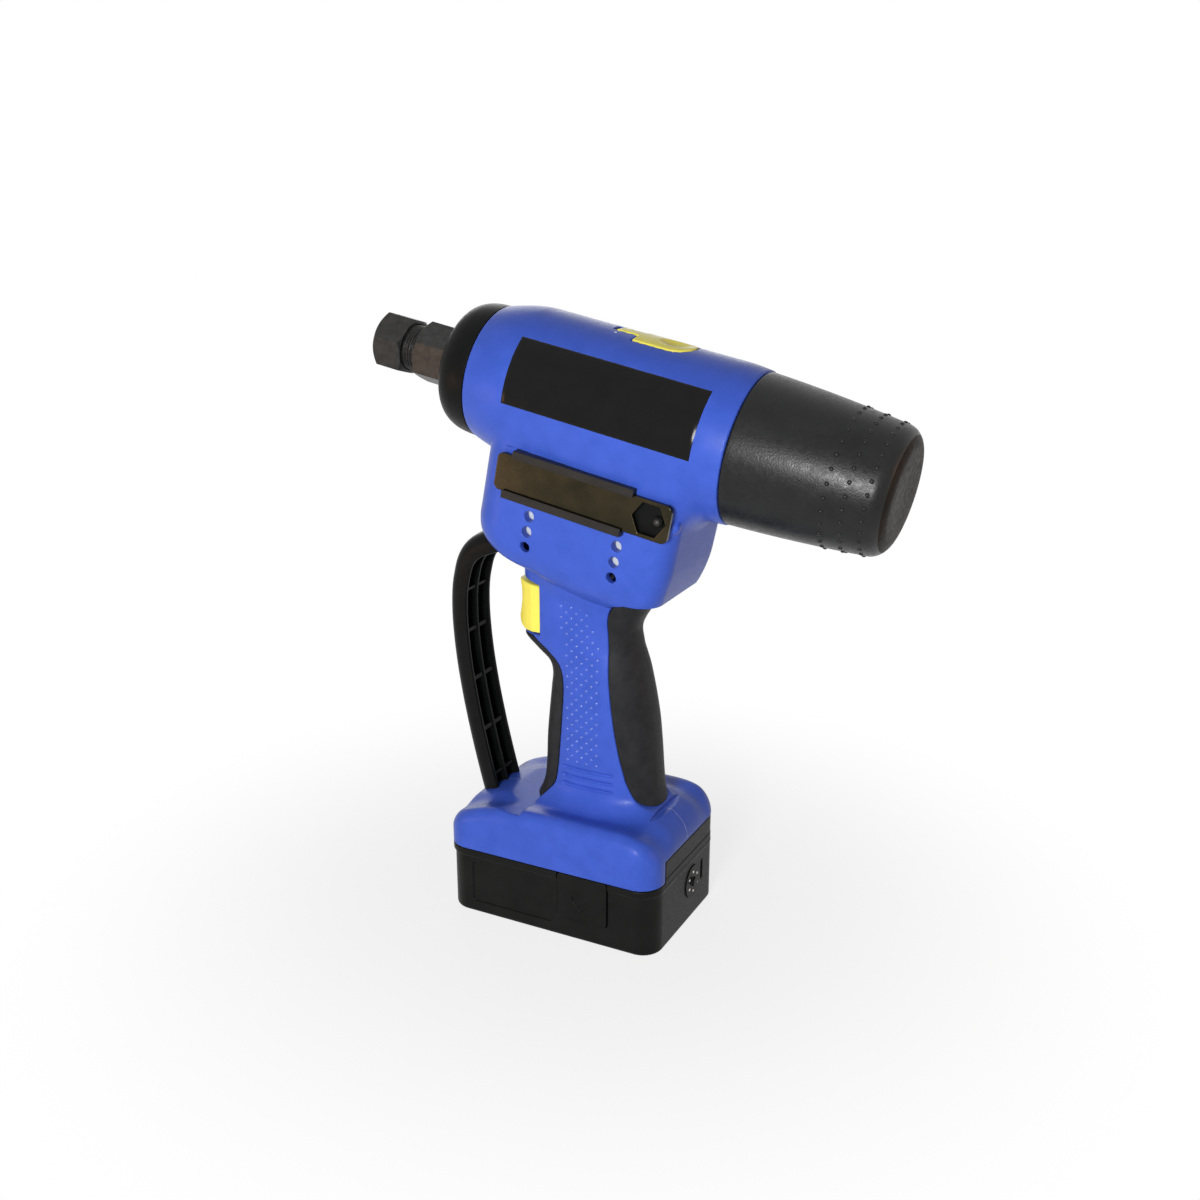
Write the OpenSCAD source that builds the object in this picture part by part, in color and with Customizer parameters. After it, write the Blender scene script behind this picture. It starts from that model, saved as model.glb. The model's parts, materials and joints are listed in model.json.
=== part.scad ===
// Battery rivet tool: a pistol-grip tool that pulls blind rivets with a ball screw.
// The frame stands on the battery's flat underside: +Z up, the nose toward -X, and the
// side that carries the spanner toward -Y. Lengths are in millimetres.

/* [Barrel] */
// Nose-up tilt of the barrel over the battery's underside
barrel_tilt = 10.7; // [9:0.1:12]
// Place of the barrel's own centre, along the tool
barrel_x = 9.1; // [7:0.1:11]
// Height of the barrel's own centre
barrel_z = 256.5; // [255:0.5:262]
// Radius of the barrel
barrel_r = 35.7; // [32:0.1:38]
// How much smaller the barrel's radius gets at the front ring
barrel_front_step = 4.4; // [3.5:0.1:5]
// How much smaller the barrel's radius gets at the collector cap
barrel_rear_step = 0.9; // [0.5:0.1:1.2]
// Reach of the barrel ahead of its centre
barrel_front = 53.7; // [50:0.1:58]
// Reach of the barrel behind its centre
barrel_rear = 75.7; // [70:0.1:82]
// Wall of the moulded housing
wall = 2.6; // [2.2:0.1:2.8]

/* [Motor pod] */
// Half width of the pod under the barrel
pod_half = 31.8; // [31:0.1:32.2]
// Depth of the pod's underside below the barrel's centre
pod_depth = 84.2; // [82:0.1:86]
// Reach of the pod's front face ahead of the barrel's centre
pod_front = 42.2; // [40:0.1:45]
// Reach of the pod's rear face behind the barrel's centre
pod_rear = 60.6; // [56:0.1:63]
// How much deeper the underside gets toward the rear
pod_lean = 0.07; // [0.04:0.005:0.09]
// Radius of the pod's upright front corners
pod_front_corner = 18; // [14:0.5:19]
// Radius of the pod's upright rear corners
pod_rear_corner = 11; // [9:0.5:13]
// Radius of each cooling vent
vent_r = 2.3; // [1.5:0.1:2.5]
// Distance between two vents of a column
vent_pitch = 7.6; // [6:0.1:8]

/* [Handle] */
// Half thickness of the grip at the palm
grip_half = 17.6; // [16.5:0.1:19]
// Thickness of the soft grip pads
pad_t = 2; // [1.5:0.1:2.2]
// How far the pads stand proud of the blue moulding
pad_proud = 0.5; // [0.3:0.1:0.9]
// Gap round each moulded-on or fitted piece
fit_gap = 0.3; // [0.2:0.05:0.35]

/* [Base and battery] */
// Half length of the battery and the foot above it
base_half_l = 57.5; // [52:0.5:62]
// Half width of the battery and the foot above it
base_half_w = 39; // [35:0.5:42]
// Radius of the foot's upright corners
base_corner = 11.5; // [10:0.5:13]
// Height of the battery's side wall, up to the blue foot
battery_h = 37; // [34:0.5:39]
// Height of the battery's top block inside the foot
battery_block_h = 8.8; // [8:0.1:9.2]
// Wall of the foot round the battery's top block
bay_wall = 5.2; // [4.6:0.1:6]
// Wall of the battery case
case_wall = 2.4; // [2:0.1:2.6]

/* [Hand guard] */
// Width of the guard strap
guard_w = 23; // [21:0.5:27]
// Depth of the guard's channel section
guard_d = 11.2; // [10:0.1:12]
// Wall of the guard
guard_wall = 2.2; // [1.8:0.1:2.6]
// Number of cross ribs inside the guard
guard_ribs = 5; // [3:1:7]

/* [Nose] */
// Width across the flats of the steel head
head_af = 26; // [25:0.5:27]
// Width across the flats of the nose nut
nut_af = 25.4; // [24.5:0.1:26]
// Length of the steel head's hexagon
head_l = 29; // [26:0.5:32]
// Length of the head's front thread
thread_l = 17; // [15:0.5:18]
// Radius of the head's front thread
thread_r = 11; // [10.6:0.1:11.3]
// Pitch of the head's front thread
thread_pitch = 1.5; // [1:0.25:2]
// Length of the nose nut
nut_l = 16; // [15:0.5:17]
// Radius of the nosepiece's bore, for a rivet's mandrel
nosepiece_bore_r = 2.05; // [1.2:0.05:2.4]
// How much smaller the front ring's open rim is than the barrel's front
ring_rim_step = 7.3; // [6:0.1:9]
// Length of the front ring ahead of the barrel
ring_l = 17; // [15:0.5:18]

/* [Drive] */
// Radius of the ball screw spindle
spindle_r = 7; // [6.5:0.1:7.5]
// Radius of the ball nut
ball_nut_r = 15; // [13:0.5:16]
// Tooth module of the gear pair
gear_module = 1; // [0.8:0.05:1.1]
// Teeth of the gear on the gearbox shaft
drive_teeth = 40; // [36:2:42]
// Width of both gears
gear_w = 9; // [7:0.5:10]
// Radius of the motor
motor_r = 18; // [16:0.5:19.5]
// Length of the reduction gearbox
gearbox_l = 22; // [18:0.5:24]
// Pulling stroke
stroke = 20; // [14:1:22]

/* [Collector] */
// Length of the collector cap for spent mandrels
cap_l = 70; // [66:1:76]
// How much smaller the cap's front edge is than the barrel's rear
cap_step = 0.5; // [0.2:0.1:1]
// How much the cap narrows up to its rounded end
cap_taper = 5.3; // [4.5:0.1:6.5]
// Radius of the cap's rounded end
cap_round = 8.5; // [6:0.5:10]
// Wall of the cap
cap_wall = 2.2; // [1.8:0.1:2.6]
// Room between the cap's wall and the spigot, where the cap's sleeve runs
sleeve_room = 6.1; // [5.8:0.1:7]
// Length of the spigot inside the cap
spigot_l = 17; // [14:0.5:20]

/* [Hook, spanner and label] */
// Thickness of the hanging hook
hook_t = 2.6; // [2.2:0.1:2.8]
// Half width of the hook's body
hook_half = 11.8; // [10:0.1:13]
// Half width of the hook's hinge tab
hook_tab_half = 4.4; // [3.5:0.1:5]
// Radius of the hook's pin
hook_pin_r = 1.2; // [1:0.1:1.3]
// Length of the flat spanner
spanner_l = 87.5; // [82:0.5:90]
// Width of the flat spanner
spanner_w = 17.6; // [16:0.1:18.5]
// Thickness of the flat spanner
spanner_t = 2.4; // [2:0.1:3]
// Width across the flats of the spanner's hexagon
spanner_af = 14; // [12:0.5:14.5]
// Length of the two rails that hold the spanner
rail_l = 60.7; // [50:0.5:66]
// Thickness of the label
label_t = 0.35; // [0.2:0.05:0.5]
// Angle that the label covers round the barrel
label_angle = 51; // [40:1:52]

/* [Trigger] */
// Travel of the trigger
trigger_travel = 6; // [3:0.5:6.5]
// Half width of the trigger
trigger_half = 9.5; // [8:0.5:10]
// Height of the trigger's lower edge
trigger_z = 145.4; // [144.8:0.1:146]
// Height of the trigger at its rear edge
trigger_h = 22.1; // [21:0.1:22.4]

/* [Hidden] */
round_fn = 96;
small_fn = 40;

// Smooth tables: each row is [place, value, value, ...], and the values between two
// rows follow a cubic whose slopes come from the neighbouring rows.
function row(t, z, i = 0) = (i >= len(t) - 2 || z < t[i + 1][0]) ? i : row(t, z, i + 1);
function slope(t, i, c) =
  let (a = max(i - 1, 0), b = min(i + 1, len(t) - 1))
  (t[b][c] - t[a][c]) / (t[b][0] - t[a][0]);
function at(t, z, c) =
  let (q = min(max(z, t[0][0]), t[len(t) - 1][0]), i = row(t, q))
  let (h = t[i + 1][0] - t[i][0], s = (q - t[i][0]) / h)
  t[i][c] * (2 * pow(s, 3) - 3 * pow(s, 2) + 1)
  + slope(t, i, c) * h * (pow(s, 3) - 2 * pow(s, 2) + s)
  + t[i + 1][c] * (3 * pow(s, 2) - 2 * pow(s, 3))
  + slope(t, i + 1, c) * h * (pow(s, 3) - pow(s, 2));
function steps(a, b, n) = [for (i = [0:n]) a + (b - a) * i / n];

// Half outlines on the -Y side, from the rear round to the front. lap is how far the
// flat side reaches past the middle plane.
function arc(cx, cy, r, a, b, n) = [for (q = steps(a, b, n)) [cx + r * cos(q), cy + r * sin(q)]];
function half_box(x0, x1, w, r0, r1, lap, n = 5) =
  concat([[x1, lap]], arc(x1 - r1, r1 - w, r1, 0, -90, n), arc(x0 + r0, r0 - w, r0, -90, -180, n), [[x0, lap]]);
function half_oval(x0, x1, w, square, lap, n = 15) =
  let (c = (x0 + x1) / 2, a = (x1 - x0) / 2)
  concat([[x1, lap]], [for (q = steps(0, 180, n))
    [c + a * sign(cos(q)) * pow(abs(cos(q)), 2 / square), -w * pow(sin(q), 2 / square)]], [[x0, lap]]);
function level(ring, z) = [for (p = ring) [p[0], p[1], z]];

// A solid through equal rings of points, each ring running clockwise seen from its far side
module loft(rings) {
  n = len(rings[0]);
  m = len(rings);
  sides = [for (k = [0:m - 2]) for (i = [0:n - 1])
    each [[k * n + i, k * n + (i + 1) % n, (k + 1) * n + (i + 1) % n],
          [k * n + i, (k + 1) * n + (i + 1) % n, (k + 1) * n + i]]];
  polyhedron([for (r = rings) each r],
    concat([[for (i = [n - 1:-1:0]) i]], sides, [[for (i = [0:n - 1]) (m - 1) * n + i]]), convexity = 8);
}

// Barrel frame: local X runs rearward along the barrel, local Z points up from it
module in_barrel() {
  translate([barrel_x, 0, barrel_z]) rotate([0, barrel_tilt, 0]) children();
}
// A turned piece on the local X axis, from a profile of [radius, place]
module turned(profile) {
  rotate([0, 90, 0]) rotate_extrude($fn = round_fn) polygon(profile);
}
// A tube or rod on the local X axis
module rod(r, u0, u1, fn = small_fn) {
  translate([u0, 0, 0]) rotate([0, 90, 0]) cylinder(r = r, h = u1 - u0, $fn = fn);
}
// A hexagonal rod on the local X axis
module hex_rod(af, u0, u1, turn = 0) {
  translate([u0, 0, 0]) rotate([turn, 0, 0]) rotate([0, 90, 0])
    cylinder(r = af / sqrt(3), h = u1 - u0, $fn = 6);
}
// A pin along Y between two places
module cross_pin(r, x, z, y0, y1, fn = small_fn) {
  translate([x, y1, z]) rotate([90, 0, 0]) cylinder(r = r, h = y1 - y0, $fn = fn);
}
// A flat outline in X and Z, thick along Y between two places
module side_plate(y0, y1) {
  translate([0, y1, 0]) rotate([90, 0, 0]) linear_extrude(y1 - y0) children();
}
module block(x0, x1, y0, y1, z0, z1) {
  translate([x0, y0, z0]) cube([x1 - x0, y1 - y0, z1 - z0]);
}
module ring_plate(ro, ri, u0, u1, fn = round_fn) {
  rotate([0, 90, 0]) rotate_extrude($fn = fn) polygon([[ri, u0], [ro, u0], [ro, u1], [ri, u1]]);
}
// The mirror copy on the +Y side
module other_side() {
  mirror([0, 1, 0]) children();
}

// Blue moulding
blue = [0.16, 0.24, 0.72];
black = [0.09, 0.09, 0.1];
barrel_front_r = barrel_r - barrel_front_step;
barrel_rear_r = barrel_r - barrel_rear_step;
taper_front = barrel_front - 21.7;
taper_rear = barrel_rear - 11.7;
function barrel_at(u) =
  u < -taper_front ? barrel_r - barrel_front_step * pow((-taper_front - u) / (barrel_front - taper_front), 1.6)
  : u > taper_rear ? barrel_r - barrel_rear_step * pow((u - taper_rear) / (barrel_rear - taper_rear), 1.5)
  : barrel_r;
barrel_places = concat(steps(-barrel_front, -taper_front, 6), steps(taper_rear, barrel_rear, 3));
function barrel_profile(inset, past) = concat(
  [[0, -barrel_front - past]],
  past > 0 ? [[barrel_at(-barrel_front) - inset, -barrel_front - past]] : [],
  [for (u = barrel_places) [barrel_at(u) - inset, u]],
  past > 0 ? [[barrel_rear_r - inset, barrel_rear + past]] : [],
  [[0, barrel_rear + past]]);

// Pod stations: depth under the barrel's centre, front, rear and half width
round_d = pod_depth - 21.6;
pod_t = [
  [-5, -pod_front + 1, pod_rear, pod_half], [20, -pod_front + 0.4, pod_rear, pod_half],
  [round_d - 6, -pod_front, pod_rear - 0.3, pod_half], [round_d, -pod_front, pod_rear - 0.7, pod_half],
  [round_d + 7, -pod_front + 1, pod_rear - 1.6, pod_half - 1],
  [round_d + 12.5, -pod_front + 4, pod_rear - 3, pod_half - 3],
  [round_d + 17, -pod_front + 9.1, pod_rear - 5.2, pod_half - 6],
  [round_d + 20, -pod_front + 14.5, pod_rear - 8, pod_half - 10.5],
  [pod_depth, -pod_front + 20, pod_rear - 12, pod_half - 16.5]
];
function pod_ring(d, inset, lap) =
  let (q = d + inset * min(1, max(0, (d - 20) / 40)), w = at(pod_t, q, 3) - inset)
  let (x0 = at(pod_t, q, 1) + inset, x1 = at(pod_t, q, 2) - inset)
  let (r0 = min(pod_front_corner, w - 0.2) - inset / 2, r1 = min(pod_rear_corner, w - 0.2) - inset / 2)
  [for (p = half_box(x0, x1, w, r0, r1, lap))
    [p[0], p[1], -d - pod_lean * p[0] * pow(max(d, 0) / pod_depth, 3)]];
pod_outer_places = [-5, 30, round_d - 6, round_d, round_d + 4, round_d + 8, round_d + 12.5,
  round_d + 17, round_d + 20, pod_depth];
pod_inner_places = [-8, 40, round_d - 2, round_d + 4, round_d + 9, round_d + 13, round_d + 16.5];
module pod_half_solid(inset, lap, places) {
  rings = [for (i = [len(places) - 1:-1:0]) pod_ring(places[i], inset, lap)];
  in_barrel() loft(rings);
}

// Handle stations: height, front, rear and half thickness
foot_z = 58;
handle_t = [
  [foot_z, -22.5, 46.4, grip_half + 4.6], [62, -20.4, 45.2, grip_half + 2.2], [68, -18.4, 44, grip_half + 0.6],
  [78, -17.4, 43, grip_half], [92, -16.7, 41.9, grip_half], [106, -15.3, 40.4, grip_half],
  [118, -13.9, 38.2, grip_half], [126, -13.2, 36.4, grip_half - 0.1], [132, -15.4, 35, grip_half - 0.3],
  [137.5, -22.5, 33.4, grip_half - 0.5], [143, -28.7, 31.8, grip_half - 0.7], [152, -29.4, 31, grip_half - 0.8],
  [162, -29.4, 36.5, grip_half - 0.2], [170, -29.2, 45, grip_half + 2.2], [178, -29.4, 46, grip_half + 6.2],
  [188, -31, 46, grip_half + 10]
];
function handle_ring(z, inset, lap) =
  let (x0 = at(handle_t, z, 1) + inset, x1 = at(handle_t, z, 2) - inset, w = at(handle_t, z, 3) - inset)
  level(half_oval(x0, x1, w, 2.5, lap), z);
module handle_half_solid(inset, lap, places) {
  loft([for (z = places) handle_ring(z, inset, lap)]);
}
grip_places = [foot_z, 61, 65, 70, 80, 92, 106, 118, 126, 131, 136, 140, 144, 152, 158, 163, 168,
  173, 180, 188];
pad_places = [foot_z, 61, 65, 72, 84, 98, 112, 124, 130, 135, 140, 144, 152, 158, 164, 170];

// Foot stations: height, middle, half length and half width
foot_t = [
  [battery_h, 0, base_half_l, base_half_w], [48, 0, base_half_l - 0.3, base_half_w - 0.3],
  [51, 0.2, base_half_l - 1.4, base_half_w - 1.3], [53.5, 1.5, base_half_l - 3.6, base_half_w - 3.4],
  [56, 4.5, base_half_l - 7.6, base_half_w - 7.2], [58, 6.8, base_half_l - 12, base_half_w - 11.6],
  [60, 9, base_half_l - 17.5, base_half_w - 15.8], [62, 11, base_half_l - 23.5, base_half_w - 18.6],
  [64, 12.5, base_half_l - 27, base_half_w - 20.4]
];
foot_places = [battery_h, 48, 50, 52, 54, 56, 58, 60, 62, 64];
function foot_ring(z, inset, lap) =
  let (q = z + inset, c = at(foot_t, q, 1), l = at(foot_t, q, 2) - inset, w = at(foot_t, q, 3) - inset)
  level(half_box(c - l, c + l, w, base_corner - inset, base_corner - inset, lap, 6), z);

module shell_outside() {
  in_barrel() rotate([0, 90, 0])
    rotate_extrude(angle = 180, start = 180, $fn = round_fn) polygon(barrel_profile(0, 0));
  pod_half_solid(0, 0, pod_outer_places);
  difference() {
    handle_half_solid(pad_proud, 0, grip_places);
    side_plate(-60, 1) rear_pad_outline(0);
    side_plate(-60, 1) front_pad_outline(0);
  }
  handle_half_solid(pad_t, 0, pad_places);
  loft([for (z = foot_places) foot_ring(z, 0, 0)]);
}

// Edge of the rear pad: height and place along the tool
rear_pad_t = [[63, 45], [67, 37], [72, 33.4], [80, 30.2], [100, 25.7], [125, 22.5], [145, 21.1],
  [156, 20.8], [161, 22.6], [165.5, 27.6], [168.5, 36]];
// Edge of the front pad
front_pad_t = [[60, -15.4], [64, -11.8], [69, -7.8], [76, -6], [90, -4.4], [106, -3], [119, -2.2],
  [127, -2.9], [133, -5.6], [138, -10.8], [143.6, -19]];
module rear_pad_outline(gap) {
  low = rear_pad_t[0][0];
  high = rear_pad_t[len(rear_pad_t) - 1][0];
  edge = [for (z = steps(low, high, 22)) [at(rear_pad_t, z, 1) + gap, z]];
  polygon(concat(edge, [[70, high - gap], [70, low + gap]]));
}
module front_pad_outline(gap) {
  low = front_pad_t[0][0];
  high = front_pad_t[len(front_pad_t) - 1][0];
  edge = [for (z = steps(low, high, 20)) [at(front_pad_t, z, 1) - gap, z]];
  polygon(concat(edge, [[-50, high - gap], [-50, low + gap]]));
}

bay_top = battery_h + battery_block_h + fit_gap;
bay_half_w = base_half_w - bay_wall;
bay_front = base_half_l - 6;
module shell_cavity() {
  in_barrel() turned(barrel_profile(wall, 1));
  pod_half_solid(wall, 1, pod_inner_places);
  handle_half_solid(pad_t + wall, 1, [52, 62, 70, 84, 106, 124, 132, 140, 152, 160, 170, 182]);
  loft([for (z = steps(bay_top + wall, foot_z - 0.6, 4)) foot_ring(z, wall, 1)]);
}

// Motor and gears: the nut's gear fills the barrel, and the gearbox sits on the frame's plate
addendum = 0.85;
dedendum = 1.25;
nut_teeth = 2 * floor((barrel_r - wall - 4.2) / gear_module - addendum);
gear_axis = gear_module * (nut_teeth + drive_teeth) / 2;
nut_tip_r = gear_module * (nut_teeth / 2 + addendum);
plate_t = 4;
plate_u = min(barrel_rear - 41.7, pod_rear - 26.6);
gear_u = plate_u + plate_t + 3;
motor_u1 = plate_u - gearbox_l;
motor_u0 = -pod_front + wall + 7;
module motor_rib(u) {
  translate([0, 0, -gear_axis]) difference() {
    block(u, u + 2, -40, 1, -30, 14);
    rod(motor_r + fit_gap, u - 1, u + 3);
  }
}
// Switch and board stations inside the handle
switch_x0 = -6.5;
switch_x1 = 15;
switch_half = 8;
switch_z0 = trigger_z + 0.6;
switch_z1 = trigger_z + 19.6;
board_x = 20;
board_half = 9;
board_z0 = 80;
board_z1 = 130;
// Bosses for the screws, as [x, z] and [length along Y from the middle]
screws = [[-33.7, 189.4], [39.5, 173], [18, 176], [-2, 64], [26, 66], [16, 138]];
boss_r = 4.8;
screw_r = 1.4;
module inside_ribs() {
  in_barrel() motor_rib(motor_u0 + 8);
  in_barrel() motor_rib(motor_u1 - 2);
  for (p = screws) cross_pin(boss_r, p[0], p[1], -45, 0);
  block(switch_x0 - 1.5, switch_x1 + 1.5, -45, -switch_half - fit_gap, switch_z0, switch_z0 + 2);
  block(switch_x0 - 1.5, switch_x1 + 1.5, -45, -switch_half - fit_gap, switch_z1 - 2, switch_z1);
  block(switch_x1 + fit_gap, switch_x1 + fit_gap + 1.6, -45, 0, switch_z0, switch_z0 + 4);
  block(board_x - 2, board_x + 3.6, -45, -board_half - fit_gap, board_z0 + 4, board_z0 + 6);
  block(board_x - 2, board_x + 3.6, -45, -board_half - fit_gap, board_z1 - 6, board_z1 - 4);
  block(board_x - 2, board_x + 3.6, -45, 0, board_z0 - 2, board_z0 - fit_gap);
}

// Hook pocket
hook_out = barrel_r + 0.9;
hook_in = hook_out - hook_t;
hook_u0 = 3;
hook_body_u = 14.6;
hook_u1 = 43.4;
hook_pin_u = 5.6;
hook_pin_v = barrel_r - 1.8;
hook_tab_r = 2.2;
hook_sweep = hook_out - hook_pin_v + 0.4;
hook_floor_r = barrel_r - 5.2;
hook_floor_v = sqrt(pow(hook_floor_r, 2) - pow(hook_half + 3.5, 2)) - fit_gap;
module hook_plan(grow) {
  r = hook_half + grow;
  translate([hook_body_u - grow, -r]) square([hook_u1 - hook_body_u - hook_half + grow, 2 * r]);
  intersection() {
    translate([hook_u1 - hook_half, 0]) circle(r = r, $fn = small_fn);
    translate([0, -r]) square([hook_u1 + grow, 2 * r]);
  }
  translate([hook_pin_u - hook_tab_r - grow, -hook_tab_half - grow])
    square([hook_body_u - hook_pin_u + hook_tab_r + 2 * grow + 1, 2 * (hook_tab_half + grow)]);
}
module hook_pocket() {
  in_barrel() {
    difference() {
      translate([0, 0, 20]) linear_extrude(30) hook_plan(fit_gap + 0.1);
      rod(hook_in - 0.4, -10, 60, round_fn);
    }
    intersection() {
      union() {
        cross_pin(hook_sweep, hook_pin_u, hook_pin_v, -hook_tab_half - 0.4, hook_tab_half + 0.4);
        block(hook_pin_u - hook_sweep, hook_pin_u, -hook_tab_half - 0.4, hook_tab_half + 0.4, hook_pin_v, 60);
      }
      block(-20, 60, -30, 30, 20, 60);
    }
    cross_pin(hook_pin_r + 0.05, hook_pin_u, hook_pin_v, -8, 8);
  }
}
module hook_floor() {
  in_barrel() intersection() {
    ring_plate(barrel_r - 1, hook_floor_r, hook_u0 - 3.5, hook_u1 + 2.5);
    block(-40, 80, -hook_half - 3, 0, 20, 50);
  }
}

trigger_pocket_x = -16.6;
trigger_x1 = -14.6;
trigger_front_top = trigger_z + trigger_h + 3;
module trigger_opening() {
  low = trigger_z - 0.4;
  high = trigger_z + trigger_h + 1.5;
  top = trigger_front_top + 0.4;
  side_plate(-40, 1) polygon([[-60, low - 0.5], [-31, low - 0.5], [trigger_pocket_x, low],
    [trigger_pocket_x, high], [-24.5, top - 0.7], [-29.8, top], [-60, top]]);
  deep = trigger_x1 + trigger_travel + 0.7;
  block(trigger_pocket_x - 3, deep, -trigger_half - fit_gap, 1, low, high);
}
module vents() {
  in_barrel() for (u = [-10, 35], k = [0:2]) cross_pin(vent_r, u, -51 - vent_pitch * k, -45, -20);
}
module grip_grooves() {
  for (z = [72.5, 77, 82]) {
    side_plate(-40, -grip_half + 0.4 + pad_proud) translate([0, z]) square([24, 1.8]);
    cross_pin(0.9, 0, z + 0.9, -40, -grip_half + 0.4 + pad_proud);
    cross_pin(0.9, 24, z + 0.9, -40, -grip_half + 0.4 + pad_proud);
  }
}

// The common half of the housing, on the -Y side
module housing_half() {
  difference() {
    union() {
      difference() {
        shell_outside();
        difference() {
          shell_cavity();
          inside_ribs();
        }
      }
      hook_floor();
    }
    hook_pocket();
    block(-bay_front, 70, -bay_half_w, 1, battery_h - 1, bay_top);
    block(-30, -6, -13, 1, bay_top - 1, bay_top + wall + 1);
    trigger_opening();
    vents();
    grip_grooves();
  }
}

module housing_left() {
  color(blue) difference() {
    housing_half();
    for (p = screws) cross_pin(screw_r, p[0], p[1], -14, 1);
  }
}
module housing_right() {
  color(blue) other_side() difference() {
    housing_half();
    for (p = screws) {
      cross_pin(screw_r + 0.3, p[0], p[1], -60, 1);
      cross_pin(3.2, p[0], p[1], -60, -screw_seat);
    }
  }
}
screw_seat = 12.5;
module housing_screws() {
  color([0.25, 0.25, 0.27]) for (p = screws) {
    difference() {
      union() {
        cross_pin(screw_r - 0.05, p[0], p[1], -9, screw_seat);
        cross_pin(2.8, p[0], p[1], screw_seat, screw_seat + 2.2);
      }
      translate([p[0], screw_seat + 3.2, p[1]]) rotate([90, 0, 0]) cylinder(r = 1.3, h = 2.2, $fn = 6);
    }
  }
}

// Front ring, a rubber-like dome over the head's flange
ring_u0 = -barrel_front - 0.2;
ring_rim_r = barrel_front_r - ring_rim_step;
flange_u0 = -barrel_front - 4.3;
flange_u1 = -barrel_front + 4.6;
flange_r = barrel_front_r - wall - 3;
ring_seat_r = head_af / sqrt(3) + 0.4;
ring_seat_u = flange_u0 - fit_gap;
module front_ring() {
  r = barrel_front_r - 0.2;
  color(black) in_barrel() turned([
    [flange_r + fit_gap, ring_u0 + 4], [flange_r + fit_gap, ring_seat_u], [ring_seat_r, ring_seat_u],
    [ring_seat_r, ring_u0 - ring_l + 3.2], [ring_rim_r - 1.2, ring_u0 - ring_l + 0.4],
    [ring_rim_r, ring_u0 - ring_l], [ring_rim_r + 1.6, ring_u0 - ring_l + 0.5],
    [(ring_rim_r + r) / 2 + 1.1, ring_u0 - ring_l * 0.78], [r - 1.1, ring_u0 - ring_l * 0.52],
    [r - 0.2, ring_u0 - ring_l * 0.26], [r, ring_u0], [barrel_front_r - wall - 0.15, ring_u0],
    [barrel_front_r - wall - 0.15, ring_u0 + 4]]);
}

// Grip pads, moulded on each half
module pad_half(places) {
  difference() {
    intersection() {
      handle_half_solid(0, 0, places);
      side_plate(-60, 0.5) children();
    }
    handle_half_solid(pad_t - 0.05, 1, concat([foot_z - 2], [for (z = pad_places) z], [max(pad_places) + 2]));
    if (max(places) > 160) pod_half_solid(-0.1, 1, [for (d = pod_outer_places) if (d > round_d) d]);
    if (max(places) < 160) loft([for (z = foot_places) if (z > 54) foot_ring(z, -0.1, 1)]);
  }
}
rear_pad_places = [foot_z, 62, 66, 74, 88, 104, 120, 134, 144, 152, 158, 164, 170];
front_pad_places = [foot_z, 62, 68, 84, 104, 122, 129, 134, 139, 144];
module rear_grip_left() { color(black) pad_half(rear_pad_places) rear_pad_outline(0.1); }
module rear_grip_right() { color(black) other_side() pad_half(rear_pad_places) rear_pad_outline(0.1); }
module front_grip_left() { color(black) pad_half(front_pad_places) front_pad_outline(0.1); }
module front_grip_right() { color(black) other_side() pad_half(front_pad_places) front_pad_outline(0.1); }

// Hand guard: a channel swept along its rear edge, from the foot up to the pod
guard_t = [[0, -41.8, 51.6], [1, -45.4, 65], [2, -50.2, 85], [3, -54.6, 107], [4, -57.6, 128], [5, -58.8, 148],
  [6, -57.4, 164], [7, -52, 176.5], [8, -35.7, 184]];
function guard_point(t) = [at(guard_t, t, 1), at(guard_t, t, 2)];
function guard_out(t) =
  let (d = guard_point(t + 0.05) - guard_point(t - 0.05), l = norm(d))
  [-d[1] / l, d[0] / l];
function guard_ring(t, section) =
  let (p = guard_point(t), n = guard_out(t))
  [for (s = section) [p[0] + n[0] * s[0], s[1], p[1] + n[1] * s[0]]];
guard_half = [[0, 1], [0.34, 1], [0.66, 0.94], [0.88, 0.75], [0.98, 0.44], [1, 0.12]];
guard_section = concat(
  [for (q = guard_half) [q[0] * guard_d, q[1] * guard_w / 2]],
  [for (i = [len(guard_half) - 1:-1:0]) [guard_half[i][0] * guard_d, -guard_half[i][1] * guard_w / 2]]);
function pocket_section(s) =
  let (w = guard_w / 2 - guard_wall, d = guard_d - guard_wall)
  [for (q = [[-3, 1.1], [d, 1.1], [d, w * 0.62], [d * 0.6, w], [-3, w]]) [q[0], q[1] * s]];
guard_start = 0.9;
guard_end = 6.9;
module hand_guard() {
  pitch = (guard_end - guard_start) / guard_ribs;
  color(black) difference() {
    loft([for (t = steps(0, 8, 20)) guard_ring(t, guard_section)]);
    for (k = [-1:guard_ribs], s = [-1, 1]) {
      a = max(guard_start + k * pitch, 0.12) + 0.05;
      b = min(guard_start + (k + 1) * pitch, 7.9) - 0.05;
      rings = [for (t = steps(a, b, 3)) guard_ring(t, pocket_section(s))];
      loft(s > 0 ? rings : [for (i = [3:-1:0]) rings[i]]);
    }
  }
}

// Label: bare, a thin sheet on the barrel's left side
label_u0 = -barrel_front + 23.2;
label_u1 = barrel_rear - 13.7;
label_start = 43;
module label_plate() {
  low = barrel_r + 0.03;
  high = barrel_r + label_t;
  color([0.03, 0.03, 0.03]) in_barrel() rotate([0, 90, 0])
    rotate_extrude(angle = label_angle, start = 180 + label_start, $fn = round_fn)
      polygon([[low, label_u0], [high, label_u0], [high, label_u1], [low, label_u1]]);
}

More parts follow.
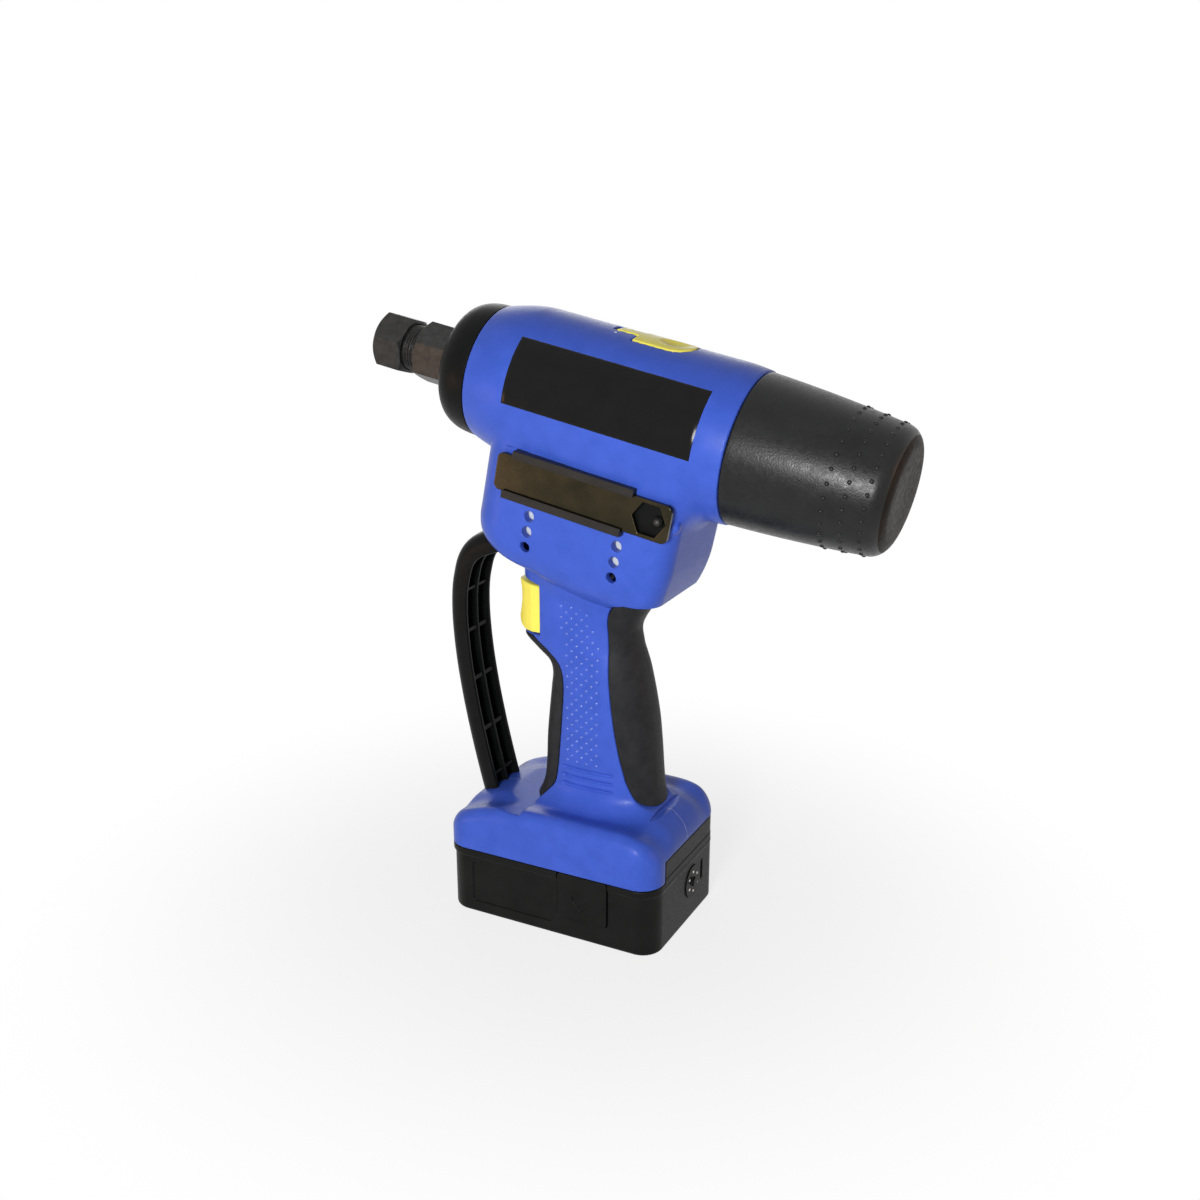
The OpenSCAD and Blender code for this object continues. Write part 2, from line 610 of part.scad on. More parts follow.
// Flat spanner on the left side, its holder and its catch
spanner_v = -33.2;
spanner_u1 = pod_rear - 1.6;
back_t = 0.6;
back_y = -pod_half - 0.1;
plate_y = back_t - back_y + fit_gap;
rail_u0 = spanner_u1 - 79.4;
hex_u = spanner_u1 - 10;
catch_u = hex_u + 3.8;
rail_w = 2.4;
module spanner_outline(grow) {
  x0 = spanner_u1 - spanner_l;
  r = 3;
  for (x = [x0 + r, spanner_u1 - r], s = [-1, 1])
    translate([x, spanner_v + s * (spanner_w / 2 - r)]) circle(r = r + grow, $fn = small_fn);
  translate([x0 - grow, spanner_v - spanner_w / 2 + r]) square([spanner_l + 2 * grow, spanner_w - 2 * r]);
  translate([x0 + r, spanner_v - spanner_w / 2 - grow]) square([spanner_l - 2 * r, spanner_w + 2 * grow]);
}
module spanner() {
  color([0.16, 0.13, 0.1]) in_barrel() difference() {
    side_plate(-plate_y - spanner_t, -plate_y) spanner_outline(0);
    translate([hex_u, -plate_y + 1, spanner_v]) rotate([90, 0, 0])
      cylinder(r = spanner_af / sqrt(3), h = spanner_t + 2, $fn = 6);
  }
}
module spanner_holder() {
  inner = spanner_w / 2 + fit_gap;
  outer = inner + rail_w;
  lip_y = -plate_y - spanner_t - fit_gap;
  color(black) in_barrel() {
    block(rail_u0, rail_u0 + rail_l, back_y - back_t, back_y, spanner_v - outer, spanner_v + outer);
    for (s = [-1, 1], shift = s > 0 ? 0 : -3) translate([rail_u0 + shift, 0, spanner_v]) {
      a = s > 0 ? inner : -outer;
      block(0, rail_l, lip_y - 1.2, back_y, a, a + rail_w);
      lip = s > 0 ? inner - 1.4 : -outer;
      block(0, rail_l, lip_y - 1.2, lip_y, lip, lip + rail_w + 1.4);
    }
  }
}
module spanner_catch() {
  color(black) in_barrel() {
    block(rail_u0 + rail_l + 0.1, catch_u + 4.6, back_y - back_t, back_y, spanner_v - 7.5, spanner_v + 7.5);
    translate([catch_u, back_y - 0.3, spanner_v]) rotate([90, 0, 0])
      cylinder(r = 2.4, h = spanner_t - 0.3, $fn = small_fn);
    translate([catch_u, -plate_y - spanner_t * 0.45, spanner_v]) sphere(r = 2, $fn = small_fn);
  }
}

// Hanging hook on the barrel's top, hinged at its front tab
module hook_pin() {
  color([0.6, 0.6, 0.62]) in_barrel() cross_pin(hook_pin_r, hook_pin_u, hook_pin_v, -7.6, 7.6);
}
module hanging_hook() {
  color([0.98, 0.86, 0.2]) in_barrel() difference() {
    union() {
      intersection() {
        ring_plate(hook_out, hook_in, -5, 60);
        translate([0, 0, 20]) linear_extrude(30) hook_plan(0);
        block(hook_pin_u, 60, -30, 30, 20, 60);
      }
      cross_pin(hook_tab_r, hook_pin_u, hook_pin_v, -hook_tab_half, hook_tab_half);
    }
    cross_pin(hook_pin_r + 0.08, hook_pin_u, hook_pin_v, -20, 20);
    translate([34.5, 0, hook_out + 7.4]) sphere(r = 9.2, $fn = round_fn);
  }
}

// Drive train on the barrel's axis
frame_u0 = flange_u1 + 0.1;
frame_r = barrel_front_r - wall - 1.9;
frame_wall = 3.4;
bearing_r = min(ball_nut_r + 6, frame_r - frame_wall - fit_gap);
nut_u0 = -2;
nut_u1 = plate_u + plate_t;
nut_tail_r = ball_nut_r - 3;
nut_tail_u = gear_u + gear_w + 8;
chuck_r = spindle_r + 1.6;
spindle_bore = 3.9;
spindle_u0 = frame_u0 + 5;
spindle_u1 = nut_tail_u + 3;
module drive_frame() {
  color([0.72, 0.73, 0.75]) in_barrel() difference() {
    union() {
      ring_plate(frame_r, frame_r - frame_wall, frame_u0 + 1, plate_u + 1);
      ring_plate(barrel_front_r - wall - 0.4, chuck_r + 1, frame_u0, frame_u0 + 5);
      ring_plate(frame_r - 1, spindle_r + 1.2, nut_u0 - 10, nut_u0 - 6);
      translate([plate_u, 0, 0]) rotate([0, 90, 0]) linear_extrude(plate_t) {
        circle(r = barrel_r - wall - fit_gap, $fn = round_fn);
        translate([gear_axis, 0]) circle(r = motor_r + 1.5, $fn = round_fn);
      }
      for (a = [60, 120, 240, 300]) rotate([a, 0, 0])
        block(plate_u + 1, nut_tail_u + 2.5, -3.5, 3.5, -barrel_r + wall + 0.7, -nut_tip_r - 0.6);
      ring_plate(barrel_r - wall - fit_gap, bearing_r - 3.9, nut_tail_u - 3.5, nut_tail_u + 2.5);
    }
    rod(ball_nut_r + 1.4, plate_u - 1, plate_u + plate_t + 1);
    translate([0, 0, -gear_axis]) rod(8.4, plate_u - 1, plate_u + plate_t + 1);
    block(plate_u - 1, nut_tail_u + 3, -hook_half - 3.5, hook_half + 3.5, hook_floor_v, barrel_r);
  }
}
module nut_bearings() {
  color([0.8, 0.8, 0.82]) in_barrel() {
    ring_plate(bearing_r, spindle_r + 1.8, nut_u0 - 5.9, nut_u0 - 0.1);
    ring_plate(bearing_r - 4, nut_tail_r + 0.05, nut_tail_u - 3.4, nut_tail_u + 2.4);
  }
}
module ball_nut() {
  bore = spindle_r + 0.1;
  color([0.5, 0.52, 0.55]) in_barrel() turned([[bore, nut_u0], [ball_nut_r, nut_u0], [ball_nut_r, nut_u1],
    [nut_tail_r, nut_u1], [nut_tail_r, nut_tail_u + 2], [bore, nut_tail_u + 2]]);
}

// A spur gear with straight-flanked teeth, thinned for backlash
backlash = 0.3;
module gear_outline(teeth) {
  rp = gear_module * teeth / 2;
  low = rp - dedendum * gear_module;
  high = rp + addendum * gear_module;
  half = (PI * gear_module / 2 - backlash) / 2;
  root = half + (rp - low) * tan(20) * 0.9;
  tip = half - (high - rp) * tan(20) * 1.1;
  polygon([for (i = [0:teeth - 1]) let (a = 360 * i / teeth)
    each [for (q = [[low, -root], [high, -tip], [high, tip], [low, root]])
      let (b = a + q[1] / rp * 180 / PI) [q[0] * cos(b), q[0] * sin(b)]]]);
}
module spur_gear(teeth, bore, turn) {
  translate([gear_u, 0, 0]) rotate([0, 90, 0]) linear_extrude(gear_w) difference() {
    rotate(turn) gear_outline(teeth);
    circle(r = bore, $fn = small_fn);
  }
}
module nut_gear() {
  color([0.45, 0.46, 0.48]) in_barrel() spur_gear(nut_teeth, nut_tail_r + 0.04, 0);
}
module drive_gear() {
  color([0.45, 0.46, 0.48]) in_barrel() translate([0, 0, -gear_axis]) {
    spur_gear(drive_teeth, 3.5, 180 / drive_teeth);
    rod(4, plate_u - 1.5, gear_u + gear_w + 1.5);
  }
}
module spindle() {
  color([0.62, 0.63, 0.66]) in_barrel() ring_plate(spindle_r, spindle_bore, spindle_u0, spindle_u1);
}

// Motor in the pod, with its reduction gearbox
module motor_can() {
  color([0.75, 0.76, 0.78]) in_barrel() translate([0, 0, -gear_axis]) rod(motor_r, motor_u0, motor_u1);
}
module motor_end_cap() {
  color(black) in_barrel() translate([0, 0, -gear_axis]) difference() {
    rod(motor_r - 2, motor_u0 - 5, motor_u0 - 0.05);
    for (a = [0:60:300]) rotate([a, 0, 0]) translate([0, 0, 10]) rod(2.2, motor_u0 - 6, motor_u0 - 2);
  }
}
module gearbox_case() {
  color([0.55, 0.56, 0.58]) in_barrel() translate([0, 0, -gear_axis]) difference() {
    rod(motor_r - 0.5, motor_u1 + 0.05, plate_u - 0.1);
    rod(4.08, plate_u - 3, plate_u + 1);
  }
}

// Nose: chuck, jaws, head, nosepiece and nut
head_u1 = flange_u0 - 7;
head_u0 = head_u1 - head_l;
thread_u0 = head_u0 - thread_l;
steel = [0.2, 0.2, 0.21];
thread_turns = floor((head_u0 - thread_u0) / thread_pitch) - 1;
module steel_head() {
  corner = head_af / sqrt(3) + 0.1;
  root = thread_r - 0.8;
  ridges = [for (k = [0:thread_turns]) let (u = thread_u0 + 0.5 + k * thread_pitch)
    each [[root, u], [thread_r, u + 0.45 * thread_pitch], [thread_r, u + 0.55 * thread_pitch]]];
  color(steel) in_barrel() difference() {
    union() {
      intersection() {
        hex_rod(head_af, head_u0, head_u1, 4);
        turned([[0, head_u0], [head_af / 2 - 0.4, head_u0], [corner, head_u0 + 1.8], [corner, head_u1],
          [0, head_u1]]);
      }
      turned(concat([[0, thread_u0], [thread_r - 1, thread_u0]], ridges,
        [[root, head_u0 - 0.4], [root, head_u0 + 1], [0, head_u0 + 1]]));
      rod(head_af / 2 - 0.5, head_u1 - 1, flange_u0);
      rod(flange_r, flange_u0, flange_u1, round_fn);
    }
    rod(chuck_r + 0.3, head_u0 - 7, flange_u1 + 1);
    rod(chuck_r - 0.5, thread_u0 - 1, head_u0);
  }
}
chuck_u0 = head_u0 - 4;
chuck_u1 = flange_u0 - 8;
jaw_u1 = chuck_u0 + 14;
jaw_r = chuck_r - 2.7;
module chuck_housing() {
  color([0.5, 0.5, 0.52]) in_barrel() turned([[3.2, chuck_u0], [chuck_r - 2, chuck_u0], [chuck_r, chuck_u0 + 4],
    [chuck_r, chuck_u1], [jaw_r + 0.5, chuck_u1], [jaw_r + 0.5, jaw_u1 - 2], [3.2, chuck_u0 + 1.5]]);
}
module chuck_jaws() {
  color([0.35, 0.35, 0.37]) in_barrel() for (a = [0, 120, 240]) rotate([0, 90, 0])
    rotate_extrude(angle = 112, start = a + 4, $fn = round_fn)
      polygon([[1.6, chuck_u0 + 2], [3, chuck_u0 + 2.4], [jaw_r, jaw_u1 - 2.2],
        [jaw_r, jaw_u1], [1.6, jaw_u1]]);
}
module jaw_pusher() {
  rim = jaw_r + 0.2;
  color([0.6, 0.6, 0.62]) in_barrel() turned([[2.6, jaw_u1 + 0.2], [rim, jaw_u1 + 0.2], [rim, jaw_u1 + 4],
    [4, jaw_u1 + 4], [4, chuck_u1 + 1.4], [2.6, chuck_u1 + 1.4]]);
}
module pusher_spring() {
  color([0.7, 0.7, 0.72]) in_barrel() ring_plate(jaw_r + 0.1, 4.3, jaw_u1 + 4.2, chuck_u1 - 2.3);
}
// The adapter stops short of the frame's bearing wall at the end of the stroke
adapter_u1 = nut_u0 - 14 - stroke;
adapter_r = spindle_r + 1.8;
module chuck_adapter() {
  fit_r = spindle_r + 0.04;
  rim = jaw_r + 0.2;
  step_u = flange_u1 - 2.9;
  color([0.55, 0.55, 0.58]) in_barrel() turned([[4.3, chuck_u1 - 2.1], [rim, chuck_u1 - 2.1],
    [rim, chuck_u1 + 0.1], [chuck_r, chuck_u1 + 0.1], [chuck_r, step_u], [adapter_r, step_u],
    [adapter_r, adapter_u1], [fit_r, adapter_u1], [fit_r, spindle_u0 - 0.1], [4.3, spindle_u0 - 0.1]]);
}
nosepiece_r = 6.2;
nose_u1 = head_u0 - 7;
nose_u0 = nose_u1 - nut_l;
module nosepiece() {
  tip_u = nose_u0 + 0.1;
  color(steel) in_barrel() turned([[nosepiece_bore_r, tip_u], [nosepiece_r, tip_u], [nosepiece_r, nose_u1 - 5],
    [4.6, nose_u1 - 3], [4.6, nose_u1 + 2], [nosepiece_bore_r, nose_u1 + 2]]);
}
module nose_nut() {
  u1 = nose_u1;
  u0 = nose_u0;
  c = nut_af / sqrt(3) + 0.1;
  color(steel) in_barrel() difference() {
    intersection() {
      hex_rod(nut_af, u0, u1, 16);
      turned([[0, u0], [nut_af / 2 - 0.6, u0], [c, u0 + 1.6], [c, u1 - 1.6], [nut_af / 2 - 0.4, u1], [0, u1]]);
    }
    rod(thread_r + 0.1, thread_u0 - 0.6, u1 + 1);
    rod(nosepiece_r + 0.05, u0 - 1, u1);
  }
}

// Spent mandrels run back through this tube into the collector
module mandrel_tube() {
  color([0.7, 0.7, 0.72]) in_barrel()
    ring_plate(spindle_bore - 0.4, spindle_bore - 1, chuck_u1 + 2, spindle_u1 + 2);
}
cap_front_r = barrel_rear_r - cap_step;
cap_rear_r = cap_front_r - cap_taper;
spigot_r = cap_front_r - cap_wall - sleeve_room;
spigot_u = barrel_rear - 9.7;
seal_u = barrel_rear + spigot_l - 6;
module collector_spigot() {
  bore = spindle_r + 0.4;
  disc = barrel_rear_r - wall - 0.3;
  groove_r = spigot_r - 1.4;
  inner_r = spigot_r - 3;
  end_u = barrel_rear + spigot_l;
  color(black) in_barrel() turned([
    [bore, spigot_u], [disc, spigot_u], [disc, spigot_u + 6], [spigot_r, spigot_u + 6],
    [spigot_r, seal_u - 1.3], [groove_r, seal_u - 1.3], [groove_r, seal_u + 1.3], [spigot_r, seal_u + 1.3],
    [spigot_r, end_u], [inner_r, end_u], [inner_r, spigot_u + 6], [bore, spigot_u + 6]]);
}
module collector_seal() {
  color([0.05, 0.05, 0.05]) in_barrel() rotate([0, 90, 0]) rotate_extrude($fn = round_fn)
    translate([spigot_r - 0.25, seal_u]) circle(r = 1.1, $fn = small_fn);
}
cap_u0 = barrel_rear + 0.3;
cap_u1 = cap_u0 + cap_l;
sleeve_r = spigot_r + 1.1;
sleeve_u1 = barrel_rear + spigot_l + 3;
function cap_at(u) =
  let (s = (u - cap_u0) / (cap_l - cap_round))
  cap_front_r - (cap_front_r - cap_rear_r) * (0.55 * s + 0.45 * s * s);
module collector_cap() {
  end_u = cap_u1 - cap_round;
  turn_r = cap_round * 1.05;
  inner_turn_r = cap_round * 0.8;
  inner_round = cap_round - cap_wall + 0.2;
  outside = concat([for (u = steps(cap_u0, end_u, 8)) [cap_at(u), u]],
    [for (q = steps(10, 90, 6)) [cap_rear_r - turn_r * (1 - cos(q)), end_u + cap_round * sin(q)]]);
  inside = concat([[0, cap_u1 - cap_wall - 0.4]],
    [for (q = steps(90, 10, 5))
      [cap_rear_r - cap_wall - inner_turn_r * (1 - cos(q)), end_u - 0.6 + inner_round * sin(q)]],
    [for (u = steps(end_u - 1, sleeve_u1 + 2.4, 5)) [cap_at(u) - cap_wall, u]]);
  color(black) in_barrel() turned(concat(outside, [[0, cap_u1]], inside,
    [[sleeve_r, sleeve_u1 + 2.4], [sleeve_r, cap_u0 + 1], [sleeve_r + 2, cap_u0 + 1], [sleeve_r + 2, sleeve_u1],
     [cap_at(sleeve_u1) - cap_wall, sleeve_u1], [cap_front_r - cap_wall, cap_u0]]));
}

// Trigger, its switch and its spring
module trigger() {
  z0 = trigger_z;
  z1 = trigger_z + trigger_h;
  front = [[-26.6, z0 + 0.2], [-29.4, z0 + 1.2], [-30.5, z0 + 3], [-30.2, z0 + 6.2], [-28.6, z0 + 10],
    [-27.7, z0 + 14.5], [-27.6, z0 + 18.4], [-28.4, z0 + 22], [-29.7, trigger_front_top - 0.7]];
  stem_half = trigger_half - 1.6;
  color([0.98, 0.86, 0.2]) {
    side_plate(-trigger_half, trigger_half) polygon(concat([[trigger_x1, z0]], front, [[trigger_x1, z1]]));
    block(trigger_x1 - 1, switch_x0 - trigger_travel - 1.3, -stem_half, stem_half, z0 + 2.6, z1 - 2.6);
  }
}
module trigger_switch() {
  color([0.12, 0.12, 0.12]) difference() {
    block(switch_x0, switch_x1, -switch_half, switch_half, switch_z0, switch_z1);
    block(switch_x0 - 1, switch_x0 + 2, -3.4, 3.4, switch_z0 + 7, switch_z0 + 14);
  }
}
module trigger_spring() {
  u0 = switch_x0 - trigger_travel - 1;
  color([0.7, 0.7, 0.72]) translate([0, 0, switch_z0 + 10.5]) ring_plate(2.8, 2, u0, switch_x0 + 1.8, small_fn);
}
module control_board() {
  color([0.1, 0.35, 0.16]) {
    block(board_x, board_x + 1.6, -board_half, board_half, board_z0, board_z1);
    for (z = steps(board_z0 + 12, board_z1 - 18, 2)) block(board_x - 3, board_x, -6, 6, z, z + 6);
  }
}

// Battery: case, top block, cells, contacts, latches and charge gauge
module terminal_block() {
  color([0.15, 0.15, 0.16]) {
    block(-29.6, -6.4, -12.6, 12.6, bay_top + 0.1, bay_top + wall + 5);
    for (y = [-8, 0, 8]) block(-26, -10, y - 0.5, y + 0.5, bay_top - 4.6, bay_top + 1);
  }
}
case_screw_x = base_half_l - 10.5;
case_screw_y = base_half_w - 4.4;
case_t = [[0, 3.2], [0.7, 1.7], [1.9, 0.7], [4, 0], [battery_h - 5.6, 0], [battery_h - 5.4, 0.9],
  [battery_h - 0.3, 0.9]];
latch_x0 = 6.2;
latch_x1 = 32.8;
latch_z0 = 11.2;
latch_z1 = battery_h - 2.2;
latch_t = 2.4;
latch_press = 2.2;
latch_face = base_half_w - 0.2;
latch_floor = latch_face - latch_t - latch_press - 0.2;
case_in = latch_floor - 1.2;
case_end = base_half_l - case_wall - 1.5;
function whole(half) = concat(half, [for (i = [len(half) - 1:-1:0]) [half[i][0], -half[i][1]]]);
function case_ring(z, inset) =
  let (l = base_half_l - inset, w = base_half_w - inset)
  let (r = base_corner - inset)
  level(whole([for (p = half_box(-l, l, w, r, r, 0, 6)) if (p[1] < 0) p]), z);
module battery_case() {
  color(black) difference() {
    loft([for (r = case_t) case_ring(r[0], r[1])]);
    block(-case_end, case_end, -case_in, case_in, case_wall, battery_h + 1);
    for (s = [-1, 1]) {
      deep = base_half_w + 1 - latch_floor;
      y0 = s < 0 ? -base_half_w - 1 : latch_floor;
      block(latch_x0 - 0.3, latch_x1 + 0.3, y0, y0 + deep, latch_z0 - 0.3, latch_z1 + 4);
      side = s < 0 ? -base_half_w - 1 : base_half_w - 0.8;
      block(-base_half_l + 15.5, latch_x0 - 3.4, side, side + 1.8, 6.5, battery_h - 9);
      block(latch_x1 + 3.4, base_half_l - 14.5, side, side + 1.8, 6.5, battery_h - 9);
    }
    for (x = [-1, 1] * case_screw_x, y = [-1, 1] * case_screw_y) {
      translate([x, y, -1]) cylinder(r = 3.1, h = 3, $fn = small_fn);
      translate([x, y, -1]) cylinder(r = 1.5, h = 12, $fn = small_fn);
    }
  }
}
lid_half_w = bay_half_w - 0.6;
lid_front = bay_front - 0.6;
lid_z0 = battery_h - 0.25;
lid_z1 = bay_top - fit_gap;
module battery_lid() {
  color(black) difference() {
    union() {
      block(-lid_front, base_half_l - 0.4, -lid_half_w, lid_half_w, lid_z0, lid_z1);
      block(-lid_front + 1, base_half_l - 8, -case_in + fit_gap, case_in - fit_gap, lid_z0 - 4, lid_z0 + 1);
    }
    block(-lid_front + 3, base_half_l - 10, -case_in + 2, case_in - 2, lid_z0 - 5, lid_z0 + 3);
    for (y = [-8, 0, 8]) block(-lid_front - 1, -6, y - 1.6, y + 1.6, lid_z1 - 5.2, lid_z1 + 1);
    for (s = [-1, 1]) {
      y0 = s < 0 ? -lid_half_w - 1 : lid_half_w - 5.2;
      block(latch_x0 + 5, latch_x1 - 5, y0, y0 + 6.2, lid_z0 - 5, lid_z0 + 4.6);
    }
  }
}
// Four cells fill the case between its ends, its side walls and the lid
cell_gap = 0.4;
cell_r = min((case_end - 2 * cell_gap) / 4 - cell_gap / 2, (lid_z0 - 5 - case_wall) / 2 - fit_gap);
cell_l = 2 * (case_in - 2 * cell_gap);
cell_z = case_wall + cell_r + fit_gap;
cell_xs = [for (k = [-1.5:1:1.5]) k * (2 * cell_r + cell_gap)];
module battery_cells() {
  color([0.2, 0.5, 0.3]) for (x = cell_xs) cross_pin(cell_r, x, cell_z, -cell_l / 2, cell_l / 2);
}
module cell_links() {
  color([0.8, 0.8, 0.78]) for (p = [[0, 1], [1, -1], [2, 1]], y = p[1] * (cell_l / 2 + 0.25))
    block(cell_xs[p[0]] - 4, cell_xs[p[0] + 1] + 4, y - 0.15, y + 0.15, cell_z - 4, cell_z + 4);
}
module battery_contacts() {
  color([0.85, 0.65, 0.3]) for (y = [-8, 0, 8], s = [-1, 1])
    block(-24, -12, y + s * 1.15 - 0.25, y + s * 1.15 + 0.25, lid_z1 - 4.9, lid_z1 - 0.6);
}
module latch_half() {
  y = -latch_face;
  difference() {
    block(latch_x0, latch_x1, y, y + latch_t, latch_z0, latch_z1);
    translate([(latch_x0 + latch_x1) / 2, y + 0.5, 22]) rotate([90, 0, 0]) linear_extrude(3)
      polygon([[-4, -4], [4, -4], [0, -8]]);
  }
  block(latch_x0 + 5.6, latch_x1 - 5.6, y + 0.6, y + latch_t, latch_z1 - 1, latch_z1 + 1.4);
}
module latch_left() { color(black) latch_half(); }
module latch_right() { color(black) other_side() latch_half(); }
module latch_spring_half() {
  for (x = [latch_x0 + 6, latch_x1 - 6])
    translate([x, -latch_floor - 0.05, 23]) rotate([90, 0, 0]) difference() {
      cylinder(r = 2, h = latch_press + 0.1, $fn = small_fn);
      translate([0, 0, -1]) cylinder(r = 1.4, h = latch_press + 3, $fn = small_fn);
    }
}
module latch_spring_left() { color([0.7, 0.7, 0.72]) latch_spring_half(); }
module latch_spring_right() { color([0.7, 0.7, 0.72]) other_side() latch_spring_half(); }
gauge_y = 7.5;
gauge_z = 20;
module gauge_panel() {
  color(black) translate([base_half_l + 0.05, gauge_y, gauge_z]) rotate([0, 90, 0]) difference() {
    cylinder(r = 8.5, h = 0.5, $fn = small_fn);
    translate([0, 0, -1]) cylinder(r = 2.5, h = 3, $fn = small_fn);
    for (a = [0:60:300]) rotate([0, 0, a]) translate([5.2, 0, -1]) cylinder(r = 0.75, h = 3, $fn = 24);
  }
}
module gauge_button() {
  color([0.2, 0.2, 0.2]) translate([0, gauge_y, gauge_z]) rod(2.2, base_half_l + 0.9, base_half_l + 1.8);
}
module gauge_lights() {
  color([0.95, 0.95, 0.9]) translate([base_half_l + 0.1, gauge_y, gauge_z]) rotate([0, 90, 0])
    for (a = [0:60:300]) rotate([0, 0, a]) translate([5.2, 0, 0]) cylinder(r = 0.65, h = 0.6, $fn = 24);
}
module battery_screws() {
  for (x = [-1, 1] * case_screw_x, y = [-1, 1] * case_screw_y) color([0.3, 0.3, 0.32]) translate([x, y, 0.6]) {
    cylinder(r = 2.8, h = 1.3, $fn = small_fn);
    cylinder(r = 1.4, h = 9.4, $fn = small_fn);
  }
}

housing_left();
housing_right();
front_ring();
rear_grip_left();
rear_grip_right();
front_grip_left();
front_grip_right();
hand_guard();
label_plate();
spanner_holder();
spanner_catch();
spanner();
housing_screws();
hook_pin();
hanging_hook();
drive_frame();
nut_bearings();
ball_nut();
nut_gear();
spindle();
chuck_adapter();
chuck_housing();
chuck_jaws();
jaw_pusher();
pusher_spring();
steel_head();
nosepiece();
nose_nut();
mandrel_tube();
collector_spigot();
collector_seal();
collector_cap();
motor_can();
motor_end_cap();
gearbox_case();
drive_gear();
trigger();
trigger_switch();
trigger_spring();
control_board();
terminal_block();
battery_case();
battery_lid();
battery_cells();
cell_links();
battery_contacts();
latch_left();
latch_right();
latch_spring_left();
latch_spring_right();
gauge_panel();
gauge_button();
gauge_lights();
battery_screws();
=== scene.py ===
"""The looks of a battery rivet tool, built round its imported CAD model.

Each moulded piece is described by a function that says how far a point is outside it. The
function surface() turns such a function into a fine mesh. Lengths are in millimetres until a
mesh is made. The barrel has its own frame: u runs rearward along it and v points up from it.
"""

import json
import math

import bpy
import numpy as np
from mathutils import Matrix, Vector


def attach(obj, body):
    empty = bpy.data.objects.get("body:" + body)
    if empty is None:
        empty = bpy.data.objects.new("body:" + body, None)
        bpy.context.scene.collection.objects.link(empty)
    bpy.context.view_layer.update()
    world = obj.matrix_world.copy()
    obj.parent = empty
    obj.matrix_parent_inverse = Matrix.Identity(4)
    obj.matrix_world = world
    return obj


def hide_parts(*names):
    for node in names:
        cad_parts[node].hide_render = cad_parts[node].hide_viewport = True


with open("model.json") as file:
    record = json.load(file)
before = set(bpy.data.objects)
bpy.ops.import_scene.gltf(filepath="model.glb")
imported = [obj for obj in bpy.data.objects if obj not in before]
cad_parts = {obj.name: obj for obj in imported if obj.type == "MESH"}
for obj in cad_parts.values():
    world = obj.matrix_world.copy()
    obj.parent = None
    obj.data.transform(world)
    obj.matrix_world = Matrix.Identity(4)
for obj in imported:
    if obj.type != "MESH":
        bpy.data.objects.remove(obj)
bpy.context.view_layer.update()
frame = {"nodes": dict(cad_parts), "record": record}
COARSE = 1.0

# The barrel's frame, as in the CAD source
TILT = math.radians(10.7)
COS, SIN = math.cos(TILT), math.sin(TILT)
BARREL_X, BARREL_Z = 9.1, 256.5
BARREL_R, BARREL_FRONT, BARREL_REAR = 35.7, -53.7, 75.7


def to_barrel(x, z):
    return (x - BARREL_X) * COS - (z - BARREL_Z) * SIN, (x - BARREL_X) * SIN + (z - BARREL_Z) * COS


def from_barrel(points):
    """Points of the barrel's frame in the row frame."""
    u, y, v = np.asarray(points, float).T
    return np.stack([BARREL_X + u * COS + v * SIN, y, BARREL_Z - u * SIN + v * COS], -1)


# Shapes: positive outside, negative inside


def meet(a, b, r):
    """The part in both shapes, with edges of radius r."""
    return np.minimum(np.maximum(a, b), -r) + np.hypot(np.maximum(a + r, 0), np.maximum(b + r, 0))


def join(a, b, r):
    """Both shapes, with a fillet of radius r between them."""
    return -meet(-a, -b, r)


def cut(a, b, r):
    """Shape a without shape b, with edges of radius r."""
    return meet(a, -b, r)


def flat_box(a, b, half_a, half_b, r):
    """A rectangle with corners of radius r, as long as needed the third way."""
    qa, qb = np.abs(a) - half_a + r, np.abs(b) - half_b + r
    return np.hypot(np.maximum(qa, 0), np.maximum(qb, 0)) + np.minimum(np.maximum(qa, qb), 0) - r


def box(a, b, c, half_a, half_b, half_c, r):
    """A block with edges of radius r."""
    q = [np.abs(a) - half_a + r, np.abs(b) - half_b + r, np.abs(c) - half_c + r]
    outside = np.sqrt(sum(np.maximum(k, 0) ** 2 for k in q))
    return outside + np.minimum(np.maximum(np.maximum(q[0], q[1]), q[2]), 0) - r


def to_line(a, b, a0, a1, b0):
    """Distance to a straight line from a0 to a1 at the height b0."""
    return np.hypot(a - np.clip(a, a0, a1), b - b0)


def hexagon(a, b, across, turn):
    """A hexagon, across its flats and turned by a number of degrees."""
    angle = np.arctan2(b, a) - math.radians(turn)
    sector = np.mod(angle + math.pi / 6, math.pi / 3) - math.pi / 6
    return np.hypot(a, b) * np.cos(sector) - across / 2


def outline(a, b, corners):
    """Distance to a closed outline, for small pieces."""
    corners = np.asarray(corners, float)
    best, inside = np.full(a.shape, 1e9), np.zeros(a.shape, bool)
    for (x0, y0), (x1, y1) in zip(corners, np.roll(corners, -1, 0)):
        ex, ey = x1 - x0, y1 - y0
        t = np.clip(((a - x0) * ex + (b - y0) * ey) / (ex * ex + ey * ey), 0, 1)
        best = np.minimum(best, (a - x0 - t * ex) ** 2 + (b - y0 - t * ey) ** 2)
        inside ^= ((y0 > b) != (y1 > b)) & (a < ex * (b - y0) / (ey if ey else 1e-9) + x0)
    return np.where(inside, -1, 1) * np.sqrt(best)


